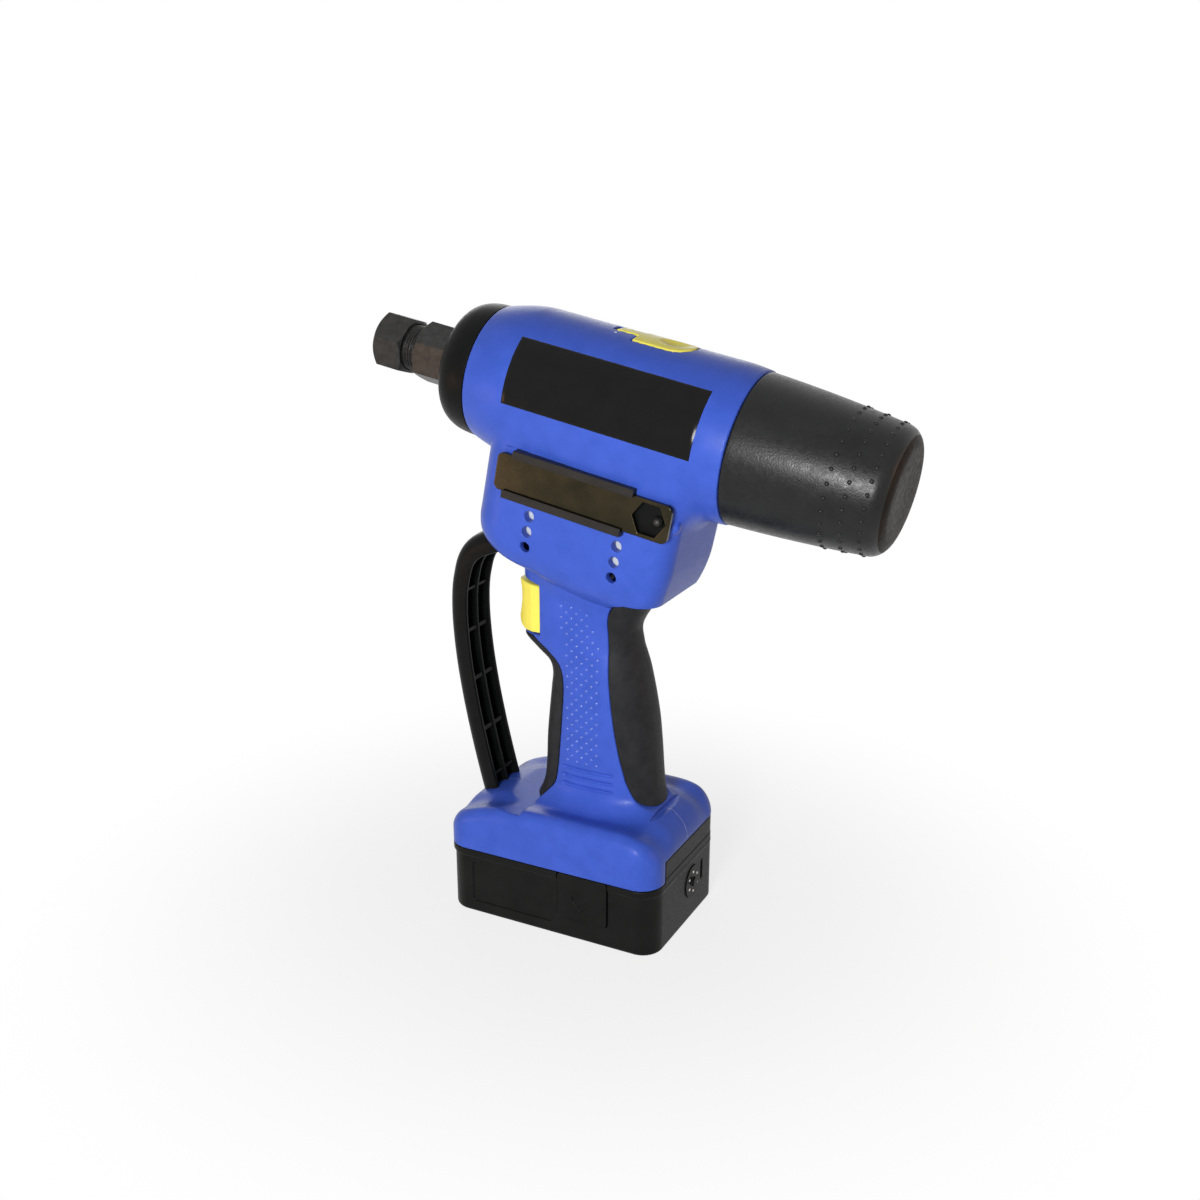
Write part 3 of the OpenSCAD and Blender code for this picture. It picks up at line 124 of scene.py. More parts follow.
class Curves:
    """Smooth curves through the rows [place, value, value, ...] of a table."""

    def __init__(self, rows, samples=500):
        rows = np.asarray(rows, float)
        x, y = rows[:, 0], rows[:, 1:]
        slope = np.empty_like(y)
        slope[1:-1] = (y[2:] - y[:-2]) / (x[2:] - x[:-2])[:, None]
        slope[0], slope[-1] = (y[1] - y[0]) / (x[1] - x[0]), (y[-1] - y[-2]) / (x[-1] - x[-2])
        self.places = np.linspace(x[0], x[-1], samples)
        i = np.clip(np.searchsorted(x, self.places, side="right") - 1, 0, len(x) - 2)
        h = (x[i + 1] - x[i])[:, None]
        s = (self.places[:, None] - x[i][:, None]) / h
        self.values = (
            y[i] * (2 * s**3 - 3 * s**2 + 1)
            + slope[i] * h * (s**3 - 2 * s**2 + s)
            + y[i + 1] * (3 * s**2 - 2 * s**3)
            + slope[i + 1] * h * (s**3 - s**2)
        )
        self.slopes = np.gradient(self.values, self.places, axis=0)

    def __call__(self, place, column):
        return np.interp(place, self.places, self.values[:, column])

    def slope(self, place, column):
        return np.interp(place, self.places, self.slopes[:, column])


def gradient(shape, points, step=0.02):
    """How fast the shape function grows along each axis."""
    result = np.empty_like(points)
    for axis in range(3):
        move = np.zeros(3)
        move[axis] = step
        result[:, axis] = (shape(points + move) - shape(points - move)) / (2 * step)
    return result


HALF_DIAGONAL = 0.87  # of a cube, in its sides
BATCH = 6000  # blocks worked out at a time


def surface(shape, low, high, cell, steepest=1.8):
    """The mesh where shape(points) is 0: points, unit normals and quads.

    The field changes by at most steepest a millimetre, so blocks too far from 0 for that are skipped.
    """
    cell = cell * COARSE
    low, high = np.asarray(low, float), np.asarray(high, float)
    counts = np.ceil((high - low) / (16 * cell)).astype(int)
    blocks = np.stack(np.meshgrid(*[np.arange(n) for n in counts], indexing="ij"), -1).reshape(-1, 3) * 16
    children = np.stack(np.meshgrid(*[np.arange(4)] * 3, indexing="ij"), -1).reshape(-1, 3) * 4
    for size in (16, 4):
        middle = low + (blocks + size / 2) * cell
        blocks = blocks[np.abs(shape(middle)) < size * cell * HALF_DIAGONAL * steepest]
        if size == 16:
            blocks = (blocks[:, None, :] + children).reshape(-1, 3)
    corners = np.stack(np.meshgrid(*[np.arange(5)] * 3, indexing="ij"), -1).reshape(-1, 3)
    values = np.concatenate(
        [
            shape((low + (part[:, None, :] + corners) * cell).reshape(-1, 3)).reshape(-1, 5, 5, 5)
            for part in np.array_split(blocks, max(1, len(blocks) // BATCH))
        ]
    )
    offsets = np.array([[i, j, k] for i in (0, 1) for j in (0, 1) for k in (0, 1)])
    eight = np.stack([values[:, i : i + 4, j : j + 4, k : k + 4] for i, j, k in offsets], -1)
    inside = (eight < 0).sum(-1)
    b, i, j, k = np.nonzero((inside > 0) & (inside < 8))
    eight = eight[b, i, j, k]
    cells = blocks[b] + np.stack([i, j, k], -1)
    total, count = np.zeros((len(cells), 3)), np.zeros((len(cells), 1))
    for a in range(8):
        for c in range(a + 1, 8):
            if np.abs(offsets[a] - offsets[c]).sum() == 1:
                crossing = (eight[:, a] < 0) != (eight[:, c] < 0)
                t = np.where(crossing, eight[:, a] / np.where(crossing, eight[:, a] - eight[:, c], 1), 0)
                total += crossing[:, None] * (offsets[a] + t[:, None] * (offsets[c] - offsets[a]))
                count += crossing[:, None]
    points = low + (cells + total / count) * cell
    span = cells.max(0) + 3
    keys = (cells[:, 0] * span[1] + cells[:, 1]) * span[2] + cells[:, 2]
    order = np.argsort(keys)
    cells, points, eight, keys = cells[order], points[order], eight[order], keys[order]
    quads = []
    for axis in range(3):
        steps = np.zeros((4, 3), int)
        steps[1, (axis + 1) % 3] = steps[2, (axis + 1) % 3] = -1
        steps[3, (axis + 2) % 3] = steps[2, (axis + 2) % 3] = -1
        far = int(np.flatnonzero((offsets == np.eye(3, dtype=int)[axis]).all(1))[0])
        crossing = np.flatnonzero((eight[:, 0] < 0) != (eight[:, far] < 0))
        around = cells[crossing][:, None, :] + steps
        wanted = (around[..., 0] * span[1] + around[..., 1]) * span[2] + around[..., 2]
        found = np.clip(np.searchsorted(keys, wanted), 0, len(keys) - 1)
        good = (keys[found] == wanted).all(1)
        quad = found[good]
        outward = eight[crossing[good], 0] < 0
        quads.append(np.where(outward[:, None], quad, quad[:, ::-1]))
    quads = np.concatenate(quads)
    for _ in range(2):
        slope = gradient(shape, points)
        length2 = np.maximum((slope**2).sum(1), 0.05)
        move = np.clip(shape(points) / length2, -0.4 * cell, 0.4 * cell)
        points = points - slope * move[:, None]
    slope = gradient(shape, points)
    normals = slope / np.maximum(np.linalg.norm(slope, axis=1, keepdims=True), 1e-9)
    return points, normals, quads


# Objects


def add(name, points, faces, body, material, nodes=(), normals=None):
    """A piece from points in millimetres, in the row frame."""
    mesh = bpy.data.meshes.new(name)
    mesh.from_pydata(np.asarray(points) * 0.001, [], faces)
    mesh.update()
    mesh.shade_smooth()
    if normals is not None:
        mesh.normals_split_custom_set_from_vertices(normals)
    mesh.materials.append(material)
    obj = bpy.data.objects.new(name, mesh)
    bpy.context.scene.collection.objects.link(obj)
    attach(obj, body)
    if nodes:
        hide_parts(*nodes)
    return obj


def moulded(name, shape, low, high, cell, body, material, nodes=(), barrel=False):
    """A piece from its shape function, which is in the barrel's frame if barrel is set."""
    points, normals, quads = surface(lambda p: shape(*p.T), low, high, cell)
    if barrel:
        points = from_barrel(points)
        u, y, v = normals.T
        normals = np.stack([u * COS + v * SIN, y, -u * SIN + v * COS], -1)
    return add(name, points, quads, body, material, nodes, normals)


def turned(name, profile, body, material, nodes=(), sides=160, sharp=35):
    """A turned piece on the barrel's axis, from a closed profile of [place, radius]."""
    profile = np.asarray(profile, float)
    angles = np.linspace(0, 2 * math.pi, sides, endpoint=False)
    u, r = profile[:, 0][:, None], profile[:, 1][:, None]
    points = np.stack([u + 0 * angles, r * np.cos(angles), r * np.sin(angles)], -1).reshape(-1, 3)
    count = len(profile)
    faces = []
    for i in range(count):
        a, b = i * sides, (i + 1) % count * sides
        faces += [[a + k, a + (k + 1) % sides, b + (k + 1) % sides, b + k] for k in range(sides)]
    obj = add(name, from_barrel(points), faces, body, material, nodes)
    obj.data.set_sharp_from_angle(angle=math.radians(sharp))
    return obj


# Materials
GRAIN_DEPTH, SCRATCH_DEPTH = 0.00012, 0.00008  # metres


def material(name, color, rough, grain=0.0, grain_size=0.3, metal=0.0, mottle=0.06, mottle_size=9.0,
             rough_spread=0.08, tint=None, specular=0.5, scratch=0.0):
    """A node material: colour with slow variation, roughness with fine variation, and a fine grain.

    Sizes are in millimetres. The tint is added where the colour is lightest.
    """
    m = bpy.data.materials.new(name)
    m.use_nodes = True
    nodes, links = m.node_tree.nodes, m.node_tree.links
    shader = nodes["Principled BSDF"]
    shader.inputs["Metallic"].default_value = metal
    shader.inputs["Specular IOR Level"].default_value = specular
    place = nodes.new("ShaderNodeTexCoord")

    def noise(size, detail, roughness=0.55):
        n = nodes.new("ShaderNodeTexNoise")
        n.inputs["Scale"].default_value = 1000.0 / size
        n.inputs["Detail"].default_value = detail
        n.inputs["Roughness"].default_value = roughness
        links.new(place.outputs["Object"], n.inputs["Vector"])
        return n.outputs["Fac"]

    def ranged(value, low, high):
        n = nodes.new("ShaderNodeMapRange")
        n.inputs["From Min"].default_value, n.inputs["From Max"].default_value = 0.3, 0.7
        n.inputs["To Min"].default_value, n.inputs["To Max"].default_value = low, high
        links.new(value, n.inputs["Value"])
        return n.outputs["Result"]

    dark = [c * (1 - mottle) for c in color]
    light = [min(1, c * (1 + mottle) + (tint[i] * mottle if tint else 0)) for i, c in enumerate(color)]
    mix = nodes.new("ShaderNodeMix")
    mix.data_type = "RGBA"
    mix.inputs["A"].default_value = (*dark, 1)
    mix.inputs["B"].default_value = (*light, 1)
    links.new(ranged(noise(mottle_size, 2.0), 0, 1), mix.inputs["Factor"])
    links.new(mix.outputs["Result"], shader.inputs["Base Color"])
    fine = noise(max(grain_size * 2.4, 0.6), 4.0)
    links.new(
        ranged(fine, max(rough - rough_spread, 0.02), min(rough + rough_spread, 1)),
        shader.inputs["Roughness"]
    )
    if grain:
        bump = nodes.new("ShaderNodeBump")
        bump.inputs["Strength"].default_value = min(grain, 1.0)
        bump.inputs["Distance"].default_value = GRAIN_DEPTH
        links.new(noise(grain_size, 2.0, 0.5), bump.inputs["Height"])
        if scratch:
            stretch = nodes.new("ShaderNodeMapping")
            stretch.inputs["Scale"].default_value = (60, 900, 900)
            links.new(place.outputs["Object"], stretch.inputs["Vector"])
            lines = nodes.new("ShaderNodeTexNoise")
            lines.inputs["Scale"].default_value = 3.0
            lines.inputs["Detail"].default_value = 3.0
            links.new(stretch.outputs["Vector"], lines.inputs["Vector"])
            second = nodes.new("ShaderNodeBump")
            second.inputs["Strength"].default_value = scratch
            second.inputs["Distance"].default_value = SCRATCH_DEPTH
            links.new(lines.outputs["Fac"], second.inputs["Height"])
            links.new(bump.outputs["Normal"], second.inputs["Normal"])
            bump = second
        links.new(bump.outputs["Normal"], shader.inputs["Normal"])
    return m


blue = material(
    "blue_moulding", (0.045, 0.105, 0.55), 0.34, grain=0.2, grain_size=0.45, mottle=0.05,
    tint=(0.1, 0.06, 0.15), specular=0.15
)
# The grip's dots: the housing's blue made lighter, a painted highlight, and glossier.
blue_dots_painted_highlight = material("blue_dots_painted_highlight", (0.07, 0.14, 0.6), 0.26, grain=0.05, grain_size=0.5, specular=0.7)
seam_edge = material(
    "seam_edge", (0.22, 0.27, 0.62), 0.4, grain=0.2, grain_size=0.6, mottle=0.3, mottle_size=2
)
grip = material(
    "soft_grip", (0.020, 0.021, 0.023), 0.5, grain=0.4, grain_size=0.5, mottle=0.2, mottle_size=6,
    specular=0.1
)
black = material(
    "black_moulding", (0.009, 0.010, 0.0095), 0.34, grain=0.6, grain_size=0.9, mottle=0.25, specular=0.24
)
# The cap's end face: black with a warm brown tint that is a painted warm reflection, and little gloss.
cap_end_painted_reflection = material(
    "cap_end_painted_reflection", (0.016, 0.012, 0.009), 0.45, grain=0.4, grain_size=0.9, mottle=0.25, specular=0.05
)
smooth_black = material(
    "smooth_black", (0.005, 0.0055, 0.0055), 0.36, grain=0.15, grain_size=0.6, mottle=0.2, specular=0.07
)
case_black = material(
    "case_black", (0.006, 0.0065, 0.006), 0.4, grain=0.4, grain_size=0.6, mottle=0.25, mottle_size=12,
    specular=0.1
)
yellow = material(
    "yellow_moulding", (0.93, 0.83, 0.12), 0.4, grain=0.12, grain_size=0.5, mottle=0.04, specular=0.3
)
film = material(
    "label_film", (0.004, 0.004, 0.004), 0.16, grain=0.05, grain_size=3.0, mottle=0.2, rough_spread=0.03,
    specular=0.15
)
dark_steel = material(
    "black_oxide", (0.04, 0.039, 0.038), 0.4, grain=0.25, grain_size=0.25, metal=0.8, mottle=0.2,
    mottle_size=3, specular=0.3
)
steel = material("ground_steel", (0.55, 0.55, 0.57), 0.3, grain=0.2, grain_size=0.2, metal=1.0, scratch=0.3)
plate = material(
    "burnished_plate", (0.027, 0.029, 0.019), 0.24, grain=0.1, grain_size=0.4, metal=1.0, mottle=0.4,
    mottle_size=24, tint=(0.05, 0.014, 0.0), rough_spread=0.06, scratch=0.12
)
rail = material(
    "rail_black", (0.014, 0.013, 0.012), 0.42, grain=0.5, grain_size=0.35, mottle=0.2, specular=0.25
)
alloy = material("machined_alloy", (0.72, 0.73, 0.75), 0.35, grain=0.2, grain_size=0.2, metal=1.0)
seal = material("seal_rubber", (0.012, 0.012, 0.012), 0.5, grain=0.1, grain_size=0.3)
board = material(
    "board_green", (0.03, 0.18, 0.06), 0.4, grain=0.2, grain_size=0.8, mottle=0.2, mottle_size=2
)
sleeve = material("cell_sleeve", (0.06, 0.3, 0.14), 0.3, grain=0.05, grain_size=1.0)
brass = material("contact_brass", (0.75, 0.52, 0.2), 0.3, grain=0.1, grain_size=0.2, metal=1.0, scratch=0.2)
zinc = material("zinc_plate", (0.62, 0.66, 0.68), 0.5, grain=0.2, grain_size=0.4, mottle=0.08, specular=0.4)
lens = material("light_lens", (0.85, 0.85, 0.82), 0.25, grain=0.05, grain_size=0.5)

by_slot = {
    "blue_housing": blue, "black_grip": grip, "black_plastic": smooth_black, "yellow_plastic": yellow,
    "label_film": film, "dark_steel": dark_steel, "tool_steel": steel, "spanner_steel": plate,
    "aluminium": alloy, "seal_rubber": seal, "board_green": board, "cell_sleeve": sleeve,
    "contact_brass": brass, "light_lens": lens,
}
slot_of = {s["node"]: s["material_slot"] for s in frame["record"]["subparts"]}
for node_name, obj in frame["nodes"].items():
    obj.data.materials.clear()
    obj.data.materials.append(by_slot[slot_of[node_name]])

# The housing's shape

TAPER_FRONT, TAPER_REAR = -32, 64
FRONT_R, REAR_R = 31.3, 34.8


def barrel_radius(u):
    front = np.clip((TAPER_FRONT - u) / (TAPER_FRONT - BARREL_FRONT), 0, 1) ** 1.6
    rear = np.clip((u - TAPER_REAR) / (BARREL_REAR - TAPER_REAR), 0, 1) ** 1.5
    return BARREL_R - (BARREL_R - FRONT_R) * front - (BARREL_R - REAR_R) * rear


# The pod under the barrel: rows of [depth, front, rear, half width]. It turns under from ROUND on.
POD_DEPTH, ROUND, POD_LEAN, POD_EDGE = 84.2, 62.6, 0.092, 7.0
FRONT_CORNER, REAR_CORNER = 18, 11
pod_curves = Curves([
    [-5, -41.2, 60.6, 31.8], [20, -41.8, 60.6, 31.8], [ROUND - 6, -42.2, 60.0, 31.8],
    [ROUND, -42.2, 59.3, 31.8],
    [ROUND + 7, -41.2, 57.8, 30.7], [ROUND + 12.5, -38.2, 55.9, 28.6], [ROUND + 17, -33.1, 53.4, 25.4],
    [ROUND + 20, -27.7, 51, 21.0], [POD_DEPTH, -22.2, 47.6, 15.0],
])


def pod(u, side, v, inset=0.0):
    """The pod, or its inside where inset is the wall. Its underside leans to stay level."""
    deep = -v
    for _ in range(3):
        deep = -v - POD_LEAN * u * (np.clip(deep, 0, POD_DEPTH) / POD_DEPTH) ** 3
    row = deep + inset * np.clip((deep - 20) / 40, 0, 1)
    x0, x1, w = pod_curves(row, 0) + inset, pod_curves(row, 1) - inset, pod_curves(row, 2) - inset
    middle = (x0 + x1) / 2
    r = np.minimum(np.where(u < middle, FRONT_CORNER, REAR_CORNER) - inset / 2, w - 0.2)
    flat = flat_box(u - middle, side, (x1 - x0) / 2, w, r)
    lean = 1 / np.sqrt(1 + np.clip(pod_curves.slope(row, 2), -0.9, 0.9) ** 2)
    return np.maximum(meet(flat * lean, row - POD_DEPTH, POD_EDGE), -5 - deep)


# The grip: rows of [height, front, rear, half width]
handle_curves = Curves([
    [58, -22.5, 46.4, 22.2], [62, -20.4, 45.2, 19.8], [68, -18.4, 44, 18.2], [78, -17.4, 43, 17.6],
    [92, -16.7, 41.9, 17.6],
    [106, -15.3, 40.4, 17.6], [118, -13.9, 38.2, 17.6], [126, -13.2, 36.4, 17.5], [132, -15.4, 35, 17.3],
    [137.5, -22.5, 33.4, 17.1], [143, -28.7, 31.8, 16.9], [152, -29.4, 31, 16.8], [162, -29.4, 36.5, 17.1],
    [170, -29.2, 44, 17.8], [178, -29.4, 46, 18.6], [188, -31, 46, 19.2],
])


def handle(x, side, z):
    """The grip, whose sections are squarish ovals."""
    x0, x1, w = handle_curves(z, 0), handle_curves(z, 1), handle_curves(z, 2)
    a, b = np.abs(x - (x0 + x1) / 2) / ((x1 - x0) / 2), side / w
    s = (a**2.5 + b**2.5) ** 0.4 + 1e-6
    steep = np.hypot(a**1.5 / ((x1 - x0) / 2), b**1.5 / w) * s**-1.5 + 1e-4
    return np.maximum(np.maximum((s - 1) / steep, 57 - z), z - 189)


# The foot's crown along its middle and along its sides: rows of [x, height]
foot_middle = Curves([
    [-58, 50.5], [-50, 54.6], [-38.5, 58.2], [-23.2, 61], [0, 62.6], [30, 62.9], [44.7, 61.8], [50.9, 59.3],
    [55.7, 56.1], [58, 54]
])
foot_side = Curves([
    [-58, 48.2], [-50, 52.4], [-40, 56.4], [-27, 59.2], [-14, 60.6], [0, 61], [15, 61], [30, 60.8],
    [41, 60.3], [48.5, 58.4], [53.5, 55.6], [58, 52]
])

FOOT_X, FOOT_Y, FOOT_CORNER, SKIRT = 57.5, 39, 11.5, 35.2
BAY_LEFT, BAY_RIGHT, BAY_FRONT, BAY_TOP = -25.0, 33.8, -51.5, 46.1


def bay_plan(x, y, gap):
    """The battery bay's plan, less a gap along its three walls. It is open to the rear."""
    return np.maximum(np.maximum(y - BAY_RIGHT + gap, BAY_LEFT + gap - y), BAY_FRONT + gap - x)


def foot(x, side, z):
    """The foot, whose crown dips a little between its middle and its sides."""
    plan = flat_box(x, side, FOOT_X, FOOT_Y, FOOT_CORNER)
    across = np.clip(side / 37, 0, 1)
    dip = 1.5 * np.sin(math.pi * np.clip((side - 13) / 22, 0, 1)) ** 2
    top = foot_side(x, 0) + (foot_middle(x, 0) - foot_side(x, 0)) * (1 - across**2) - dip
    return meet(meet(plan, (z - top) * 0.95, 6.0), SKIRT - z, 0.5)


# Where the soft pads end on the side of the grip: rows of [height, x]
rear_edge = Curves([
    [63, 45], [67, 37], [72, 33.4], [80, 30.2], [100, 25.7], [125, 22.5], [145, 21.1], [156, 20.7],
    [161, 21.7], [165.5, 24.4], [168.7, 28.6], [170.8, 35.5]
])
front_edge = Curves([
    [60, -15.4], [64, -11.8], [69, -7.8], [76, -6], [90, -4.4], [106, -3], [119, -2.2], [127, -2.9],
    [133, -5.6], [138, -10.8], [143.6, -19]
])


REAR_PAD, FRONT_PAD = (61, 171), (59, 143.8)
PAD_SEAT, PAD_DEPTH = 1.9, 1.8


def rear_pad_area(x, z):
    flat = (rear_edge(z, 0) - x) / np.sqrt(1 + rear_edge.slope(z, 0) ** 2)
    return np.maximum(np.maximum(flat, REAR_PAD[0] - z), z - REAR_PAD[1])


def front_pad_area(x, z):
    flat = (x - front_edge(z, 0)) / np.sqrt(1 + front_edge.slope(z, 0) ** 2)
    return np.maximum(np.maximum(flat, FRONT_PAD[0] - z), z - FRONT_PAD[1])


# The hanging hook: radii of its leaf, its pin, and the centre and half width of its round end
HOOK_OUT, HOOK_IN, PIN_U, PIN_V = 36.0, 33.7, 5.6, 33.7
HOOK_U, HOOK_HALF, TAB_HALF = 32.0, 9.8, 3.4


def hook_plan(u, side):
    """The hook seen from above: a leaf with a round end and a narrow tab to its pin."""
    wide = np.maximum(np.where(u > HOOK_U, np.hypot(u - HOOK_U, side), side) - HOOK_HALF, 15.2 - u)
    tab = np.maximum(np.maximum(side - TAB_HALF, 3.4 - u), u - 20)
    return np.minimum(wide, tab)


# The hand guard's middle line: rows of [station, x, z]
GUARD = Curves([
    [0, -41.8, 51.6], [1, -45.4, 65], [2, -50.2, 85], [3, -54.6, 107], [4, -57.6, 128], [5, -58.8, 148],
    [6, -57.4, 164], [7, -52, 176.5], [8, -35.7, 184],
])

WALL = 2.6
VENTS = [(u, -51 - 7.6 * k) for u in (-10, 35) for k in range(3)]
VENT_R, VENT_COLLAR_R = 2.45, 4.2
OPENING_X, OPENING_LOW, OPENING_HIGH = -15.1, 144.7, 170.0
WELL_X, WELL_Y, WELL_LOW = -6.7, 13.9, 145.0
GROOVES, GROOVE_DEPTH, GROOVE_HALF = (70.9, 75.2, 79.6), 1.15, 0.8
SPAN_V, CHANNEL_HALF, CHANNEL_FLOOR = -33.2, 11.4, 31.45
SCREWS = ((-33.7, 189.4), (39.5, 173), (18, 176), (-2, 64), (26, 66), (16, 138))
RECESS_R, RECESS_FLOOR, COLLAR_R, COLLAR_OUT = 3.2, 12.5, 5.2, 28.4


def housing(x, y, z):
    """Both halves of the housing, which are parted afterwards."""
    side = np.abs(y)
    u, v = to_barrel(x, z)
    rho = np.hypot(y, v)
    barrel = meet(rho - barrel_radius(u), np.maximum(BARREL_FRONT - u, u - BARREL_REAR), 0.7)
    grip_skin = handle(x, side, z)
    pod_skin = pod(u, side, v)
    lower = join(grip_skin + 0.5, foot(x, side, z), 7.5)
    lower = join(pod_skin, lower, np.interp(x, [-30, -21, -6, 14, 34], [3.5, 4.5, 12.0, 13.0, 5.0]))
    fillet = np.clip((u + 41) / 57, 0.1, 1) * 8 * np.clip((6 - v) / 16, 0.05, 1) + 0.2
    skin = join(barrel, lower, fillet)
    for area in (rear_pad_area(x, z), front_pad_area(x, z)):
        skin = cut(skin, np.maximum(area, -(grip_skin + PAD_SEAT)), 0.35)
    # Room inside, open at both ends of the barrel
    floor = np.maximum(hook_plan(u, side) - 2.5, 30.5 - rho) + np.where(v > 0, 0, 99)
    bore = np.maximum(
        rho - (barrel_radius(u) - WALL), np.maximum(BARREL_FRONT - 1 - u, u - BARREL_REAR - 1)
    )
    room = np.minimum(np.maximum(bore, -floor), pod(u, side, v, WALL))
    for vent_u, vent_v in VENTS:
        collar = np.maximum(np.hypot(u - vent_u, v - vent_v) - VENT_COLLAR_R, 27.3 - side)
        room = np.maximum(room, -collar)
    skin = cut(skin, room, 0.5)
    # Battery bay, trigger opening and hook pocket
    skin = cut(skin, np.maximum(bay_plan(x, y, 0), z - BAY_TOP), 0.5)
    top = np.minimum(OPENING_HIGH + (OPENING_X - x) * 0.13, OPENING_HIGH + 1.6)
    skin = cut(skin, np.maximum(np.maximum(x - OPENING_X, OPENING_LOW - z), z - top), 0.45)
    well = np.maximum(np.maximum(x - WELL_X, side - WELL_Y), np.maximum(WELL_LOW - z, z - OPENING_HIGH))
    skin = cut(skin, well, 0.3)
    pocket = np.maximum(np.maximum(hook_plan(u, side) - 0.4, HOOK_IN - 0.4 - rho), -v)
    sweep = np.maximum(np.hypot(u - PIN_U, v - PIN_V) - 3.1, side - 3.8)
    front = np.maximum(np.maximum(PIN_U - 3.1 - u, u - PIN_U), np.maximum(side - 3.8, PIN_V - v))
    skin = cut(skin, np.minimum(pocket, np.minimum(sweep, front)), 0.3)
    # Vents with softened rims, and the grooves low on the grip
    for vent_u, vent_v in VENTS:
        skin = cut(skin, np.maximum(np.hypot(u - vent_u, v - vent_v) - VENT_R, 20 - side), 0.45)
    for height in GROOVES:
        line = to_line(x, z, -1.6, 24, height)
        skin = skin + np.where(side > 8, GROOVE_DEPTH * np.exp(-((line / GROOVE_HALF) ** 2)), 0)
    # Channel that the spanner slides in, on the left side
    channel = np.maximum(np.maximum(np.abs(v - SPAN_V) - CHANNEL_HALF, u + 15), CHANNEL_FLOOR - side)
    skin = np.where(y < 0, cut(skin, channel, 0.25), skin)
    # Small boss under the end of the spanner
    boss = np.sqrt((u - 57.6) ** 2 + (y + 26.0) ** 2 + (v + 35.9) ** 2) - 3.2
    skin = join(skin, boss, 1.2)
    # Collar round the rear bottom recess, where the side already turns under
    low_x, low_z = SCREWS[1]
    collar = np.maximum(
        np.hypot(x - low_x, z - low_z) - COLLAR_R, np.abs(y - COLLAR_OUT / 2) - COLLAR_OUT / 2
    )
    skin = join(skin, collar, 1.6)
    # Screw recesses on the right side
    for screw_x, screw_z in SCREWS:
        hole = np.hypot(x - screw_x, z - screw_z) - RECESS_R
        skin = np.where(y > 0, cut(skin, np.maximum(hole, RECESS_FLOOR - y), 0.5), skin)
    return skin


points, normals, quads = surface(lambda p: housing(*p.T), (-60, -40, 32), (90, 40, 300), 0.76, steepest=4.5)
left = points[quads][:, :, 1].mean(1) < 0
for half, chosen in (("left", left), ("right", ~left)):
    used = np.unique(quads[chosen])
    renumbered = np.full(len(points), -1)
    renumbered[used] = np.arange(len(used))
    faces = renumbered[quads[chosen]]
    add(
        "shell_" + half, points[used], faces, "housing", blue, ["housing_" + half],
        normals[used]
    )


def pad(area):
    """The soft pads of both halves in one area of the grip, flush with its skin."""

    def shape(x, y, z):
        skin = handle(x, np.abs(y), z)
        return np.maximum(meet(skin, area(x, z) + 0.15, 1.0), -(skin + PAD_DEPTH))

    return shape


moulded(
    "rear_grip", pad(rear_pad_area), (14, -24, 56), (50, 24, 175), 0.6, "housing", grip,
    ["rear_grip_left", "rear_grip_right"]
)
moulded(
    "front_grip", pad(front_pad_area), (-36, -24, 56), (4, 24, 147), 0.6, "housing", grip,
    ["front_grip_left", "front_grip_right"]
)


SUNK = 0.1  # how far the dots' rims lie under the surface


def domes(name, places, radius, height, body, mat):
    """Small raised dots: each place is a point on the surface and the direction out of it."""
    ring, levels = 12, (0.0, 0.35, 0.65, 0.88, 1.0)
    points, faces = [], []
    for centre, out in places:
        centre, out = np.asarray(centre, float), np.asarray(out, float) / np.linalg.norm(out)
        across = np.cross(out, [0.3, 0.5, 0.81])
        across /= np.linalg.norm(across)
        along = np.cross(out, across)
        start = len(points)
        for level in levels[:-1]:
            r = radius * math.sqrt(1 - level**2)
            for k in range(ring):
                t = 2 * math.pi * k / ring
                turn = (across * math.cos(t) + along * math.sin(t)) * r
                points.append(centre + out * (height * level - SUNK) + turn)
        points.append(centre + out * (height - SUNK))
        for i in range(len(levels) - 2):
            a, b = start + i * ring, start + (i + 1) * ring
            faces += [[a + k, a + (k + 1) % ring, b + (k + 1) % ring, b + k] for k in range(ring)]
        last = start + (len(levels) - 2) * ring
        faces += [[last + k, last + (k + 1) % ring, len(points) - 1] for k in range(ring)]
    add(name, points, faces, body, mat)


def on_skin(shape, points, way):
    """Points moved along way until they lie on the shape's surface, with the directions out of it."""
    points = np.asarray(points, float)
    for _ in range(60):
        points = points + np.clip(shape(*points.T), -2, 2)[:, None] * 0.7 * np.asarray(way, float)
    slope = gradient(lambda p: shape(*p.T), points)
    return points, slope / np.linalg.norm(slope, axis=1, keepdims=True)


# Dots on the grip's two sides, in staggered rows, in a lighter blue that is a painted highlight
DOT_ROW, DOT_STEP = 2.7, 5.4
dots = []
for i, z in enumerate(np.arange(83.9, 166, DOT_ROW)):
    first = np.interp(z, [84, 120, 150, 166], [0.4, 1.0, -2.0, -3.0])
    last = np.interp(z, [84, 120, 140, 150, 158, 166], [17.4, 17.0, 16.6, 15.5, 13, 9])
    for x in np.arange(0.4 - DOT_STEP + (DOT_STEP / 2 if i % 2 else 0), 20, DOT_STEP):
        if first - 0.5 < x < last + 0.5:
            dots.append([x, z])
dots = np.array(dots)
for name, sign in (("dots_left", -1), ("dots_right", 1)):
    start = np.stack([dots[:, 0], np.full(len(dots), sign * 30.0), dots[:, 1]], -1)
    places, outs = on_skin(lambda x, y, z: handle(x, np.abs(y), z) + 0.5, start, (0, -sign, 0))
    domes(name, list(zip(places, outs)), 0.9, 0.6, "housing", blue_dots_painted_highlight)

# The pale edge where the two housing halves meet, in front of and behind the grip


SEAM_COUNT, SEAM_HALF = 40, 0.2


